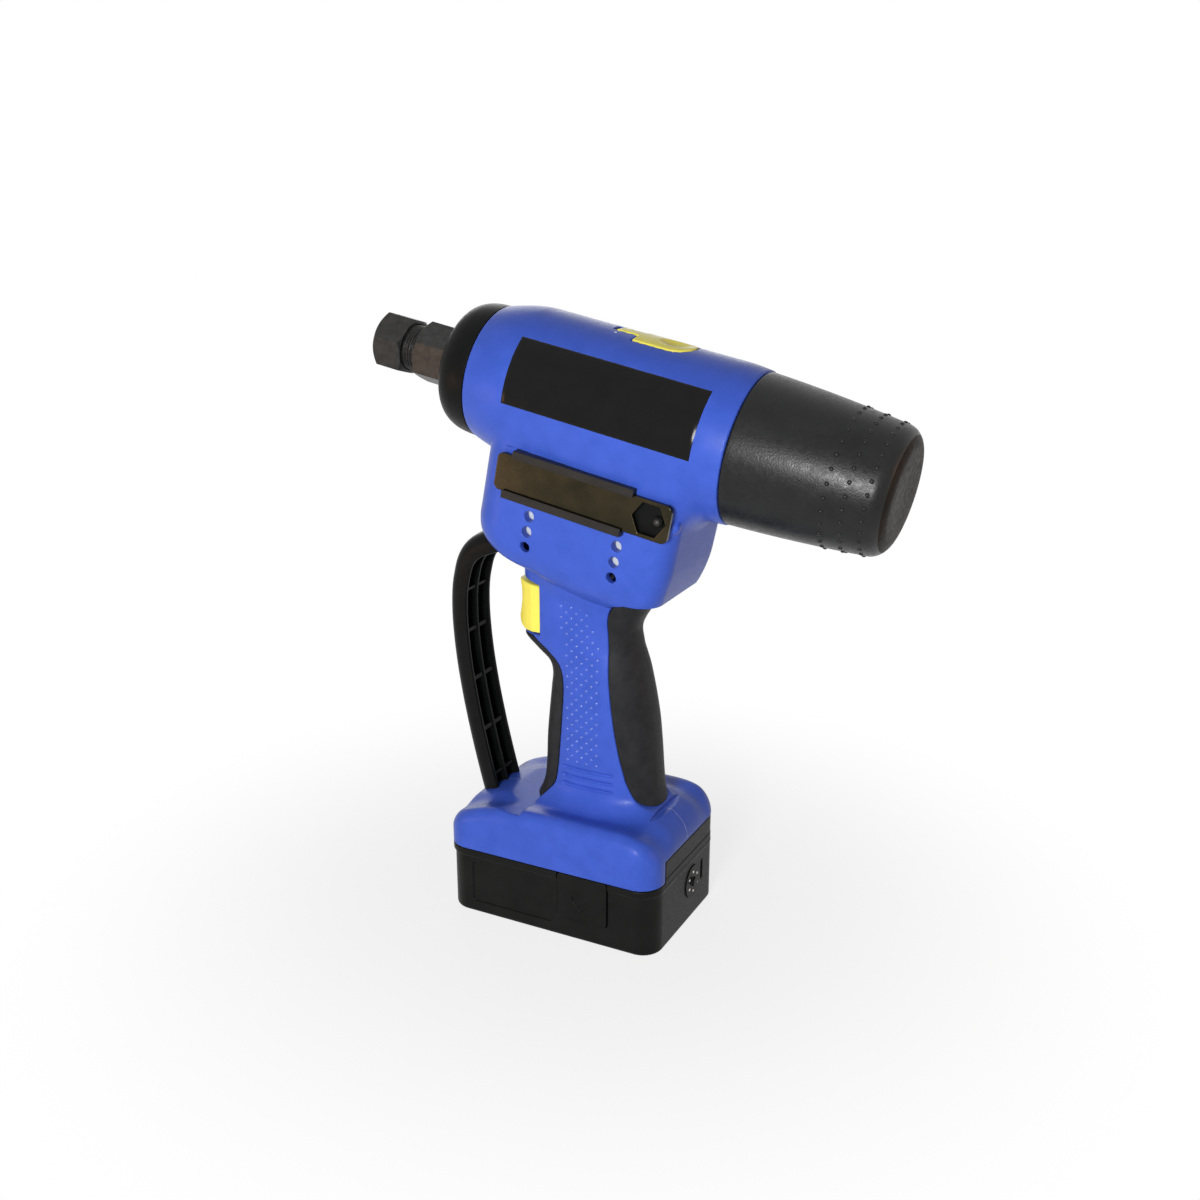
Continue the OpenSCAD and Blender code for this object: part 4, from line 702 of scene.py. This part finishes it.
def seam(name, centre, first, last):
    """A thin strip on the foot, found along rays from its centre between two angles."""
    angles = np.radians(np.linspace(first, last, SEAM_COUNT))
    way = np.stack([np.cos(angles), 0 * angles, np.sin(angles)], -1)
    points = np.array(centre) + 34 * way
    for _ in range(60):
        points = points - np.clip(housing(*points.T), -2, 2)[:, None] * 0.7 * way
    slope = gradient(lambda p: housing(*p.T), points)
    out = slope / np.linalg.norm(slope, axis=1, keepdims=True)
    sides = np.array([0, SEAM_HALF, 0])
    strip = np.concatenate([points + out * 0.03 - sides, points + out * 0.1, points + out * 0.03 + sides])
    faces = []
    for a, b in ((0, SEAM_COUNT), (SEAM_COUNT, 2 * SEAM_COUNT)):
        faces += [[a + k, b + k, b + k + 1, a + k + 1] for k in range(SEAM_COUNT - 1)]
    add(name, strip, faces, "housing", seam_edge)


seam("seam_rear", (42, 0, 46.6), 74, 1)
seam("seam_front", (-38, 0, 42), 66, 172)

# Hand guard: a channel open to the rear, with a middle rib and cross ribs
GUARD_W, GUARD_D, GUARD_WALL = 23, 11.2, 2.2


def guard_frame(t):
    """The middle line's place at a station, and the direction to its rear."""
    p = np.array([GUARD(t, 0), GUARD(t, 1)])
    d = np.array([GUARD(t + 0.04, 0) - GUARD(t - 0.04, 0), GUARD(t + 0.04, 1) - GUARD(t - 0.04, 1)])
    d /= np.linalg.norm(d)
    return p, np.array([-d[1], d[0]])


def guard_section():
    """The C-shaped cross-section, from one lip round the outside to the other and back inside."""
    outside, inside = [], []
    for q in np.linspace(-90, 90, 29):
        c, s = math.cos(math.radians(q)), math.sin(math.radians(q))
        outside.append([GUARD_D * abs(c) ** 0.62, GUARD_W / 2 * math.copysign(abs(s) ** 0.62, s)])
    for q in np.linspace(90, -90, 25):
        c, s = math.cos(math.radians(q)), math.sin(math.radians(q))
        half = GUARD_W / 2 - GUARD_WALL
        inside.append([(GUARD_D - GUARD_WALL) * abs(c) ** 0.55, half * math.copysign(abs(s) ** 0.55, s)])
    lip = [[-0.25, GUARD_W / 2 - 0.5], [-0.25, GUARD_W / 2 - GUARD_WALL + 0.5]]
    return outside + lip + inside + [[a, -b] for a, b in reversed(lip)]


def sweep(section, stations):
    """A section swept along the guard's middle line, with both ends closed."""
    points, faces, n = [], [], len(section)
    for t in stations:
        p, way = guard_frame(t)
        points += [[p[0] + way[0] * a, b, p[1] + way[1] * a] for a, b in section]
    for k in range(len(stations) - 1):
        a, b = k * n, (k + 1) * n
        faces += [[a + i, a + (i + 1) % n, b + (i + 1) % n, b + i] for i in range(n)]
    return points, faces + [list(range(n))[::-1], [len(points) - n + i for i in range(n)]]


inner_d = GUARD_D - GUARD_WALL + 0.3
middle_rib = [[0.4, -0.75], [inner_d, -0.95], [inner_d, 0.95], [0.4, 0.75], [0.15, 0.5], [0.15, -0.5]]
rib_half = GUARD_W / 2 - GUARD_WALL + 0.3
cross_rib = [
    [0.8, -rib_half], [inner_d * 0.6, -rib_half], [inner_d, -rib_half * 0.6], [inner_d, rib_half * 0.6],
    [inner_d * 0.6, rib_half], [0.8, rib_half]
]
parts = [sweep(guard_section(), np.linspace(0.05, 8, 140)), sweep(middle_rib, np.linspace(0.1, 7.9, 110))]
for k in range(6):
    t = 0.9 + 1.2 * k
    parts.append(sweep(cross_rib, [t - 0.045, t - 0.03, t + 0.03, t + 0.045]))
guard_points, guard_faces = [], []
for part_points, part_faces in parts:
    guard_faces += [[i + len(guard_points) for i in face] for face in part_faces]
    guard_points += part_points
guard = add("guard", guard_points, guard_faces, "housing", smooth_black, ["hand_guard"])
guard.data.set_sharp_from_angle(angle=math.radians(40))

# Front ring, collector cap and the nose


def rounded(corners, radius, steps=6):
    """A line of corners with rounded turns: each corner is [place, radius] or [place, radius, rounding]."""
    out = []
    for i, c in enumerate(corners):
        r = c[2] if len(c) > 2 else radius
        p = np.array(c[:2], float)
        if i in (0, len(corners) - 1) or r <= 0:
            out.append(p)
            continue
        a, b = np.array(corners[i - 1][:2], float) - p, np.array(corners[i + 1][:2], float) - p
        la, lb = np.linalg.norm(a), np.linalg.norm(b)
        reach = min(r, la * 0.45, lb * 0.45)
        p0, p1 = p + a / la * reach, p + b / lb * reach
        for t in np.linspace(0, 1, steps):
            out.append((1 - t) ** 2 * p0 + 2 * t * (1 - t) * p + t * t * p1)
    return np.array(out)


ring_out = Curves([
    [-70.9, 24.0], [-70.5, 25.1], [-69.0, 27.3], [-66.5, 29.1], [-63, 30.4], [-59, 31.0], [-56, 31.15],
    [-53.95, 31.15]
])
ring_profile = [[-53.95, 28.6], [-53.95, 31.1]]
ring_profile += [[u, float(ring_out(u, 0))] for u in np.linspace(-54.1, -70.8, 40)]
ring_profile += [
    list(p)
    for p in rounded([[-70.9, 24.2], [-70.95, 23.5], [-70.2, 22.9], [-68.2, 17.5], [-66.5, 15.4], [-58, 15.4]], 0.5)
]
turned("ring", ring_profile, "housing", smooth_black, ["front_ring"], sharp=30)

CAP_0, CAP_1, CAP_ROUND = 76.0, 146.0, 8.5


def cap_radius(u):
    s = (u - CAP_0) / (CAP_1 - CAP_0 - CAP_ROUND)
    return 34.3 - 5.3 * (0.55 * s + 0.45 * s * s)


cap_end = CAP_1 - CAP_ROUND
cap_profile = [[CAP_0, 31.6], [CAP_0, 33.7], [CAP_0 + 0.15, 34.05], [CAP_0 + 0.5, 34.25]]
cap_profile += [[u, cap_radius(u)] for u in np.linspace(CAP_0 + 0.9, cap_end, 40)]
cap_profile += [
    [cap_end + CAP_ROUND * math.sin(math.radians(q)), 29 - CAP_ROUND * 1.05 * (1 - math.cos(math.radians(q)))]
    for q in np.linspace(6, 90, 16)
]
cap_profile += [[CAP_1 - 0.02, 14], [CAP_1 - 0.25, 10], [CAP_1 - 0.3, 0.01], [CAP_1 - 2.6, 0.01]]
cap_profile += [
    [cap_end - 0.6 + 6.4 * math.sin(math.radians(q)), 20 + 6.8 * math.cos(math.radians(q))]
    for q in np.linspace(88, 8, 8)
]
cap_profile += [[u, cap_radius(u) - 2.2] for u in np.linspace(cap_end - 2, 98.4, 8)]
cap_profile += [[98.2, 27.1], [77, 27.1], [77, 29.1], [95.6, 29.1], [95.8, cap_radius(95.8) - 2.3]]
cap = turned(
    "cap", cap_profile, "collector_body", black, ["collector_cap"], sides=200, sharp=40
)
# The faces at the cap's end get the black with the painted warm reflection.
cap.data.materials.append(cap_end_painted_reflection)
for face in cap.data.polygons:
    x, _, z = face.center * 1000
    if to_barrel(x, z)[0] > cap_end + 6.6:
        face.material_index = 1
CAP_DOTS, FIRST_DOT = 31, 24  # dots in a row, and the first one's angle in degrees
cap_dots = []
for row_u, half in ((120.4, 0.0), (128.9, 0.5), (137.3, 0.0)):
    for k in range(CAP_DOTS):
        angle = math.radians(FIRST_DOT + (k + half) * 360 / CAP_DOTS)
        slope = (cap_radius(row_u + 0.5) - cap_radius(row_u - 0.5)) if row_u < cap_end else -0.35
        r = cap_radius(min(row_u, cap_end))
        centre = from_barrel([[row_u, -r * math.sin(angle), r * math.cos(angle)]])[0]
        tip = from_barrel([[row_u - slope, -(r + 1) * math.sin(angle), (r + 1) * math.cos(angle)]])[0]
        cap_dots.append((centre, tip - centre))
domes("cap_dots", cap_dots, 1.05, 0.75, "collector_body", black)


def head(u, y, v):
    """The steel head: a hexagon with a turned chamfer, a screw thread, a neck and a flange."""
    rho = np.hypot(y, v)
    hexed = meet(hexagon(v, y, 26, 26), np.maximum(-94 - u, u + 65), 0.35)
    hexed = meet(hexed, rho - 15.1 - np.minimum(0, (u + 92.2) * 1.25), 0.2)
    angle = np.arctan2(y, v) / (2 * math.pi)
    wave = np.abs(np.mod((u + 111) / 1.5 + angle, 1) - 0.5) * 2
    thread = np.maximum(rho - 10.15 - 0.8 * np.clip(wave * 1.25, 0, 1), np.maximum(-111 - u, u + 94.5))
    neck = np.maximum(rho - 12.5, np.maximum(-66 - u, u + 58))
    body = np.minimum(np.minimum(hexed, thread), neck)
    body = np.minimum(body, meet(rho - 25.7, np.maximum(-58 - u, u + 49.1), 0.3))
    return np.maximum(body, 8.1 - rho)


moulded(
    "steel_nose", head, (-113, -27, -27), (-48, 27, 27), 0.42, "housing", dark_steel,
    ["steel_head"], barrel=True
)


def nut(u, y, v):
    """The nose nut, a hexagon chamfered at both ends over a threaded bore."""
    rho = np.hypot(y, v)
    hexed = meet(hexagon(v, y, 25.4, 14), np.maximum(-117 - u, u + 101), 0.3)
    hexed = meet(hexed, rho - 12.3 - np.maximum(0, (u + 117) * 1.3), 0.25)
    hexed = meet(hexed, rho - 12.5 - np.maximum(0, (-101 - u) * 1.3), 0.25)
    hexed = cut(hexed, np.maximum(rho - 11.15, -111.5 - u), 0.2)
    return cut(hexed, rho - 6.3, 0.3)


moulded(
    "nut", nut, (-118.5, -16, -16), (-99.5, 16, 16), 0.36, "nose_nut_body", dark_steel,
    ["nose_nut"], barrel=True
)


def nose_bit(u, y, v):
    rho = np.hypot(y, v)
    step = 6.2 - 1.6 * np.clip((u + 106) / 2, 0, 1)
    return cut(meet(rho - step, np.maximum(-116.9 - u, u + 99), 0.35), rho - 2.05, 0.3)


moulded(
    "nose_bit", nose_bit, (-118, -7, -7), (-98, 7, 7), 0.25, "nosepiece_body", dark_steel,
    ["nosepiece"], barrel=True
)

# Hanging hook


def hook(u, y, v):
    side, rho = np.abs(y), np.hypot(y, v)
    leaf = meet(hook_plan(u, side), np.maximum(rho - HOOK_OUT, HOOK_IN - rho), 0.55)
    leaf = np.maximum(leaf, np.maximum(PIN_U - u, -v))
    knuckle = meet(np.hypot(u - PIN_U, v - PIN_V) - 2.2, side - 3.4, 0.4)
    body = np.minimum(leaf, knuckle)
    dish = np.sqrt((u - 32.2) ** 2 + y * y + (v - 50.6) ** 2) - 16.4
    return cut(body, dish, 0.25)


moulded(
    "hook", hook, (2, -14, 24), (46, 14, 40), 0.3, "hook_body", yellow, ["hanging_hook"],
    barrel=True
)

# Label: a bare film that follows the barrel
LABEL_FRONT, LABEL_LENGTH, LABEL_ANGLE, LABEL_SPAN = -30.5, 92.5, 43, 51
label_points, label_faces = [], []
cols, rows = 90, 60
for i in range(cols + 1):
    for j in range(rows + 1):
        u = LABEL_FRONT + LABEL_LENGTH * i / cols
        angle = math.radians(LABEL_ANGLE + LABEL_SPAN * j / rows)
        edge = min(i, cols - i, j, rows - j)
        r = BARREL_R + (0.33 if edge else 0.04)
        label_points.append([u, -r * math.sin(angle), r * math.cos(angle)])
for i in range(cols):
    for j in range(rows):
        a = i * (rows + 1) + j
        label_faces.append([a, a + 1, a + rows + 2, a + rows + 1])
add("label", from_barrel(label_points), label_faces, "housing", film, ["label_plate"])

# Spanner, its holder and its catch
PLATE_Y, SPAN_T, HOLDER_U, HOLDER_HALF = 32.8, 2.4, 9.95, 30.35
KNOB_U = 52.8


def spanner(u, y, v):
    flat = flat_box(u - 15.25, v - SPAN_V, 43.75, 8.8, 3)
    flat = np.maximum(flat, -hexagon(u - 49, v - SPAN_V, 14, 30))
    return meet(flat, np.abs(-y - PLATE_Y - SPAN_T / 2) - SPAN_T / 2, 0.35)


moulded(
    "spanner_plate", spanner, (-31, -37, -44), (62, -31, -22), 0.42, "spanner_body", plate,
    ["spanner"], barrel=True
)


def holder(u, y, v):
    """The spanner's holder: a back and two rails with lips, the lower one set further forward."""
    depth = -y
    result = box(u - HOLDER_U, depth - 32.2, v - SPAN_V, HOLDER_HALF, 0.3, 9.4, 0.1)
    for sign, shift in ((1, 0), (-1, -3)):
        mid_u = HOLDER_U + shift
        wall = box(u - mid_u, depth - 34.3, v - (SPAN_V + sign * 10.3), HOLDER_HALF, 2.4, 1.2, 0.3)
        lip = box(u - mid_u, depth - 36.1, v - (SPAN_V + sign * 9.6), HOLDER_HALF, 0.6, 1.9, 0.3)
        result = np.minimum(result, np.minimum(wall, lip))
    return result


moulded(
    "holder", holder, (-25, -38, -47), (42, -31, -19), 0.4, "housing", rail,
    ["spanner_holder"], barrel=True
)


def catch(u, y, v):
    depth = -y
    tongue = box(u - 49, depth - 32.2, v - SPAN_V, 8.6, 0.3, 7.6, 0.12)
    knob = meet(np.hypot(u - KNOB_U, v - SPAN_V) - 2.5, np.maximum(32 - depth, depth - 34.3), 0.3)
    return np.minimum(tongue, knob)


def catch_ball(u, y, v):
    return np.sqrt((u - KNOB_U) ** 2 + (v - SPAN_V) ** 2 + (y + 33.9) ** 2) - 2.0


moulded(
    "catch_knob", catch, (38, -38, -43), (60, -31, -24), 0.3, "housing", smooth_black,
    ["spanner_catch"], barrel=True
)
moulded(
    "catch_ball", catch_ball, (50, -37, -36), (56, -31, -30), 0.25, "housing", dark_steel,
    barrel=True
)

# Plated bracket seen through the vents


def bracket(u, y, v):
    side = np.abs(y)
    sheet = box(u - 12.5, side - 26.5, v + 54.6, 31, 0.4, 8.2, 0.2)
    for end in (-18.2, 43.2):
        sheet = np.minimum(sheet, box(u - end, side - 27.9, v + 54.6, 0.4, 1.6, 8.2, 0.2))
    return sheet


moulded(
    "vent_bracket", bracket, (-21, -31, -65), (46, 31, -44), 0.6, "housing", zinc, barrel=True
)

# Trigger
trigger_side = [
    [-13.1, 145.1], [-24.8, 145.3], [-27.8, 146.5], [-29.6, 148.2], [-30.4, 150], [-30.3, 151.4],
    [-29.4, 153.6], [-28.5, 156.2],
    [-27.8, 159.4], [-27.6, 162.6], [-27.8, 165.6], [-28.5, 168.2], [-29.2, 170.4], [-13.1, 168.6],
]


def trigger(x, y, z):
    """The trigger's lever, as wide as the grip's oval section lets it be, and its stem."""
    flat = outline(x, z, trigger_side)
    half = np.minimum(16.6 * (1 - np.clip((7.4 - x) / 39.5, 0, 0.995) ** 2.5) ** 0.4, 13.4)
    lever = meet(flat, (np.abs(y) - half) * 0.75, 1.0)
    stem = box(x + 14.7, y, z - 156.45, 1.0, 7.9, 8.4, 0.3)
    return np.minimum(lever, stem)


moulded(
    "trigger_lever", trigger, (-33, -15, 141), (-11, 15, 172), 0.45, "trigger_body", yellow,
    ["trigger"]
)

# Battery


def battery(x, y, z):
    """The battery's case: a round-edged body, a band and a deck, and its panels, seats and slot."""
    side = np.abs(y)
    body = meet(flat_box(x - 0.5, side, 57.0, 38, 10.5), np.maximum(-z, z - 34), 1.8)
    plan = flat_box(x, side, FOOT_X, FOOT_Y, FOOT_CORNER)
    band = meet(plan, np.maximum(31.4 - z, z - 35.0), 0.5)
    inner = np.maximum(x - FOOT_X, bay_plan(x, y, 0.5))
    deck = meet(np.maximum(plan, inner), np.maximum(32 - z, z - 36.7), 0.3)
    result = join(body, np.minimum(band, deck), 0.6)
    panel = np.maximum(flat_box(x + 19.6, z - 17.25, 22.4, 10.75, 1.5), 37.45 - side)
    result = cut(result, panel, 0.3)
    seat = np.maximum(flat_box(x - 19.5, z - 24.6, 13.6, 13.7, 1.8), 34.0 - side)
    result = cut(result, seat, 0.3)
    slot_cut = np.maximum(flat_box(y - 18.7, z - 21.3, 0.9, 5.2, 0.8), 55.5 - x)
    return cut(result, slot_cut, 0.25)


moulded(
    "case", battery, (-60, -41, -2), (60, 41, 38.5), 0.7, "battery_body", case_black,
    ["battery_case"]
)


def lid(x, y, z):
    """The block on top of the battery, with slots for its contacts."""
    plan = flat_box(x, np.abs(y), 57.4, 38.8, 11.4)
    body = meet(np.maximum(plan, bay_plan(x, y, 0.6)), np.maximum(36.5 - z, z - 45.8), 0.4)
    for middle in (-8, 0, 8):
        body = cut(body, np.maximum(np.maximum(np.abs(y - middle) - 1.6, x + 6), 40.6 - z), 0.2)
    return body


moulded(
    "lid", lid, (-53, -36, 35), (60, 36, 48), 0.6, "battery_body", case_black,
    ["battery_lid"]
)


def latch(x, y, z):
    """A latch's push button on the left side, with an arrow moulded in."""
    depth = -y
    face = meet(flat_box(x - 19.5, z - 23, 13.3, 11.8, 1.6), np.abs(depth - 37.6) - 1.2, 0.45)
    arrow = outline(x, z, [[14.5, 21], [19.5, 16.5], [24.5, 21], [24.5, 24], [19.5, 19.5], [14.5, 24]])
    return cut(face, np.maximum(arrow, 38.35 - depth), 0.25)


moulded(
    "latch_button_left", latch, (4, -40, 9), (35, -35, 37), 0.4, "latch_left_body", case_black,
    ["latch_left"]
)
moulded(
    "latch_button_right", lambda x, y, z: latch(x, -y, z), (4, 35, 9), (35, 40, 37), 0.4,
    "latch_right_body", case_black, ["latch_right"]
)

# Camera, floor and light


def lamp(name, place, aim, size, power, color=(1, 1, 1)):
    """A round soft lamp that faces its aim, in metres and watts."""
    data = bpy.data.lights.new(name, "AREA")
    data.shape, data.size, data.energy, data.color = "DISK", size, power, color
    obj = bpy.data.objects.new(name, data)
    obj.location = place
    obj.rotation_euler = (Vector(aim) - Vector(place)).to_track_quat("-Z", "Y").to_euler()
    bpy.context.scene.collection.objects.link(obj)


camera = bpy.data.cameras.new("camera")
camera.lens, camera.sensor_width = 42.0, 36.0
camera_object = bpy.data.objects.new("camera", camera)
camera_object.location = (0.2978, -0.5628, 0.3712)
view = Vector((0.00978, 0, 0.16215)) - camera_object.location
camera_object.rotation_euler = view.to_track_quat("-Z", "Y").to_euler()
bpy.context.scene.collection.objects.link(camera_object)
bpy.context.scene.camera = camera_object

floor_mesh = bpy.data.meshes.new("floor")
count, reach = 24, 6.0
grid = np.linspace(-reach, reach, count + 1)
floor_faces = []
for i in range(count):
    a, b = i * (count + 1), (i + 1) * (count + 1)
    floor_faces += [[a + j, b + j, b + j + 1, a + j + 1] for j in range(count)]
floor_mesh.from_pydata([(a, b, -0.0002) for a in grid for b in grid], [], floor_faces)
floor = bpy.data.objects.new("floor", floor_mesh)
bpy.context.scene.collection.objects.link(floor)


def seen(tree):
    """1 for what the camera sees, directly, in gloss or through glass, and 0 for what lights the object."""
    path = tree.nodes.new("ShaderNodeLightPath")
    value = path.outputs["Is Camera Ray"]
    for name in ("Is Glossy Ray", "Is Transmission Ray"):
        most = tree.nodes.new("ShaderNodeMath")
        most.operation = "MAXIMUM"
        tree.links.new(value, most.inputs[0])
        tree.links.new(path.outputs[name], most.inputs[1])
        value = most.outputs[0]
    return value


# The floor is pale, keeps the shadow near the object and fades to the white backdrop round it
ground = bpy.data.materials.new("ground")
ground.use_nodes = True
tree = ground.node_tree
ground_shader = tree.nodes["Principled BSDF"]
ground_shader.inputs["Roughness"].default_value = 0.9
ground_shader.inputs["Specular IOR Level"].default_value = 0.1
speckle = tree.nodes.new("ShaderNodeTexNoise")
speckle.inputs["Scale"].default_value = 40.0
tone = tree.nodes.new("ShaderNodeMapRange")
tone.inputs["To Min"].default_value, tone.inputs["To Max"].default_value = 0.8, 0.84
tree.links.new(speckle.outputs["Fac"], tone.inputs["Value"])
tree.links.new(tone.outputs["Result"], ground_shader.inputs["Base Color"])
spot = tree.nodes.new("ShaderNodeTexCoord")
length = tree.nodes.new("ShaderNodeVectorMath")
length.operation = "LENGTH"
tree.links.new(spot.outputs["Object"], length.inputs[0])
away = tree.nodes.new("ShaderNodeMapRange")
away.interpolation_type = "SMOOTHSTEP"
away.inputs["From Min"].default_value, away.inputs["From Max"].default_value = 0.07, 0.30
away.inputs["To Min"].default_value, away.inputs["To Max"].default_value = 0.78, 1.0
tree.links.new(length.outputs["Value"], away.inputs["Value"])
share = tree.nodes.new("ShaderNodeMath")
share.operation = "MULTIPLY"
tree.links.new(away.outputs["Result"], share.inputs[0])
tree.links.new(seen(tree), share.inputs[1])
white = tree.nodes.new("ShaderNodeEmission")
white.inputs["Color"].default_value = (1, 1, 1, 1)
white.inputs["Strength"].default_value = 1.0
blend = tree.nodes.new("ShaderNodeMixShader")
tree.links.new(share.outputs[0], blend.inputs[0])
tree.links.new(ground_shader.outputs[0], blend.inputs[1])
tree.links.new(white.outputs[0], blend.inputs[2])
tree.links.new(blend.outputs[0], tree.nodes["Material Output"].inputs["Surface"])
floor_mesh.materials.append(ground)

world = bpy.data.worlds.new("world")
bpy.context.scene.world = world
world.use_nodes = True
tree = world.node_tree
backdrop = tree.nodes["Background"]
backdrop.inputs["Color"].default_value = (1, 1, 1, 1)
level = tree.nodes.new("ShaderNodeMapRange")
level.inputs["To Min"].default_value, level.inputs["To Max"].default_value = 0.1, 1.0
tree.links.new(seen(tree), level.inputs["Value"])
tree.links.new(level.outputs["Result"], backdrop.inputs["Strength"])

lamp("key", (0.19, -0.86, 0.4), (0.01, 0, 0.17), 0.24, 7.0)
lamp("back", (-0.7, 1.05, 0.5), (0, 0, 0.17), 1.0, 3.6)
lamp("warm_rear", (0.95, 0.25, 0.28), (0.03, 0, 0.17), 0.4, 1.0, (1.0, 0.45, 0.2))
lamp("warm", (-0.62, -0.6, 0.1), (-0.03, 0, 0.2), 0.3, 0.9, (1.0, 0.5, 0.22))

scene = bpy.context.scene
scene.view_settings.view_transform = "Standard"
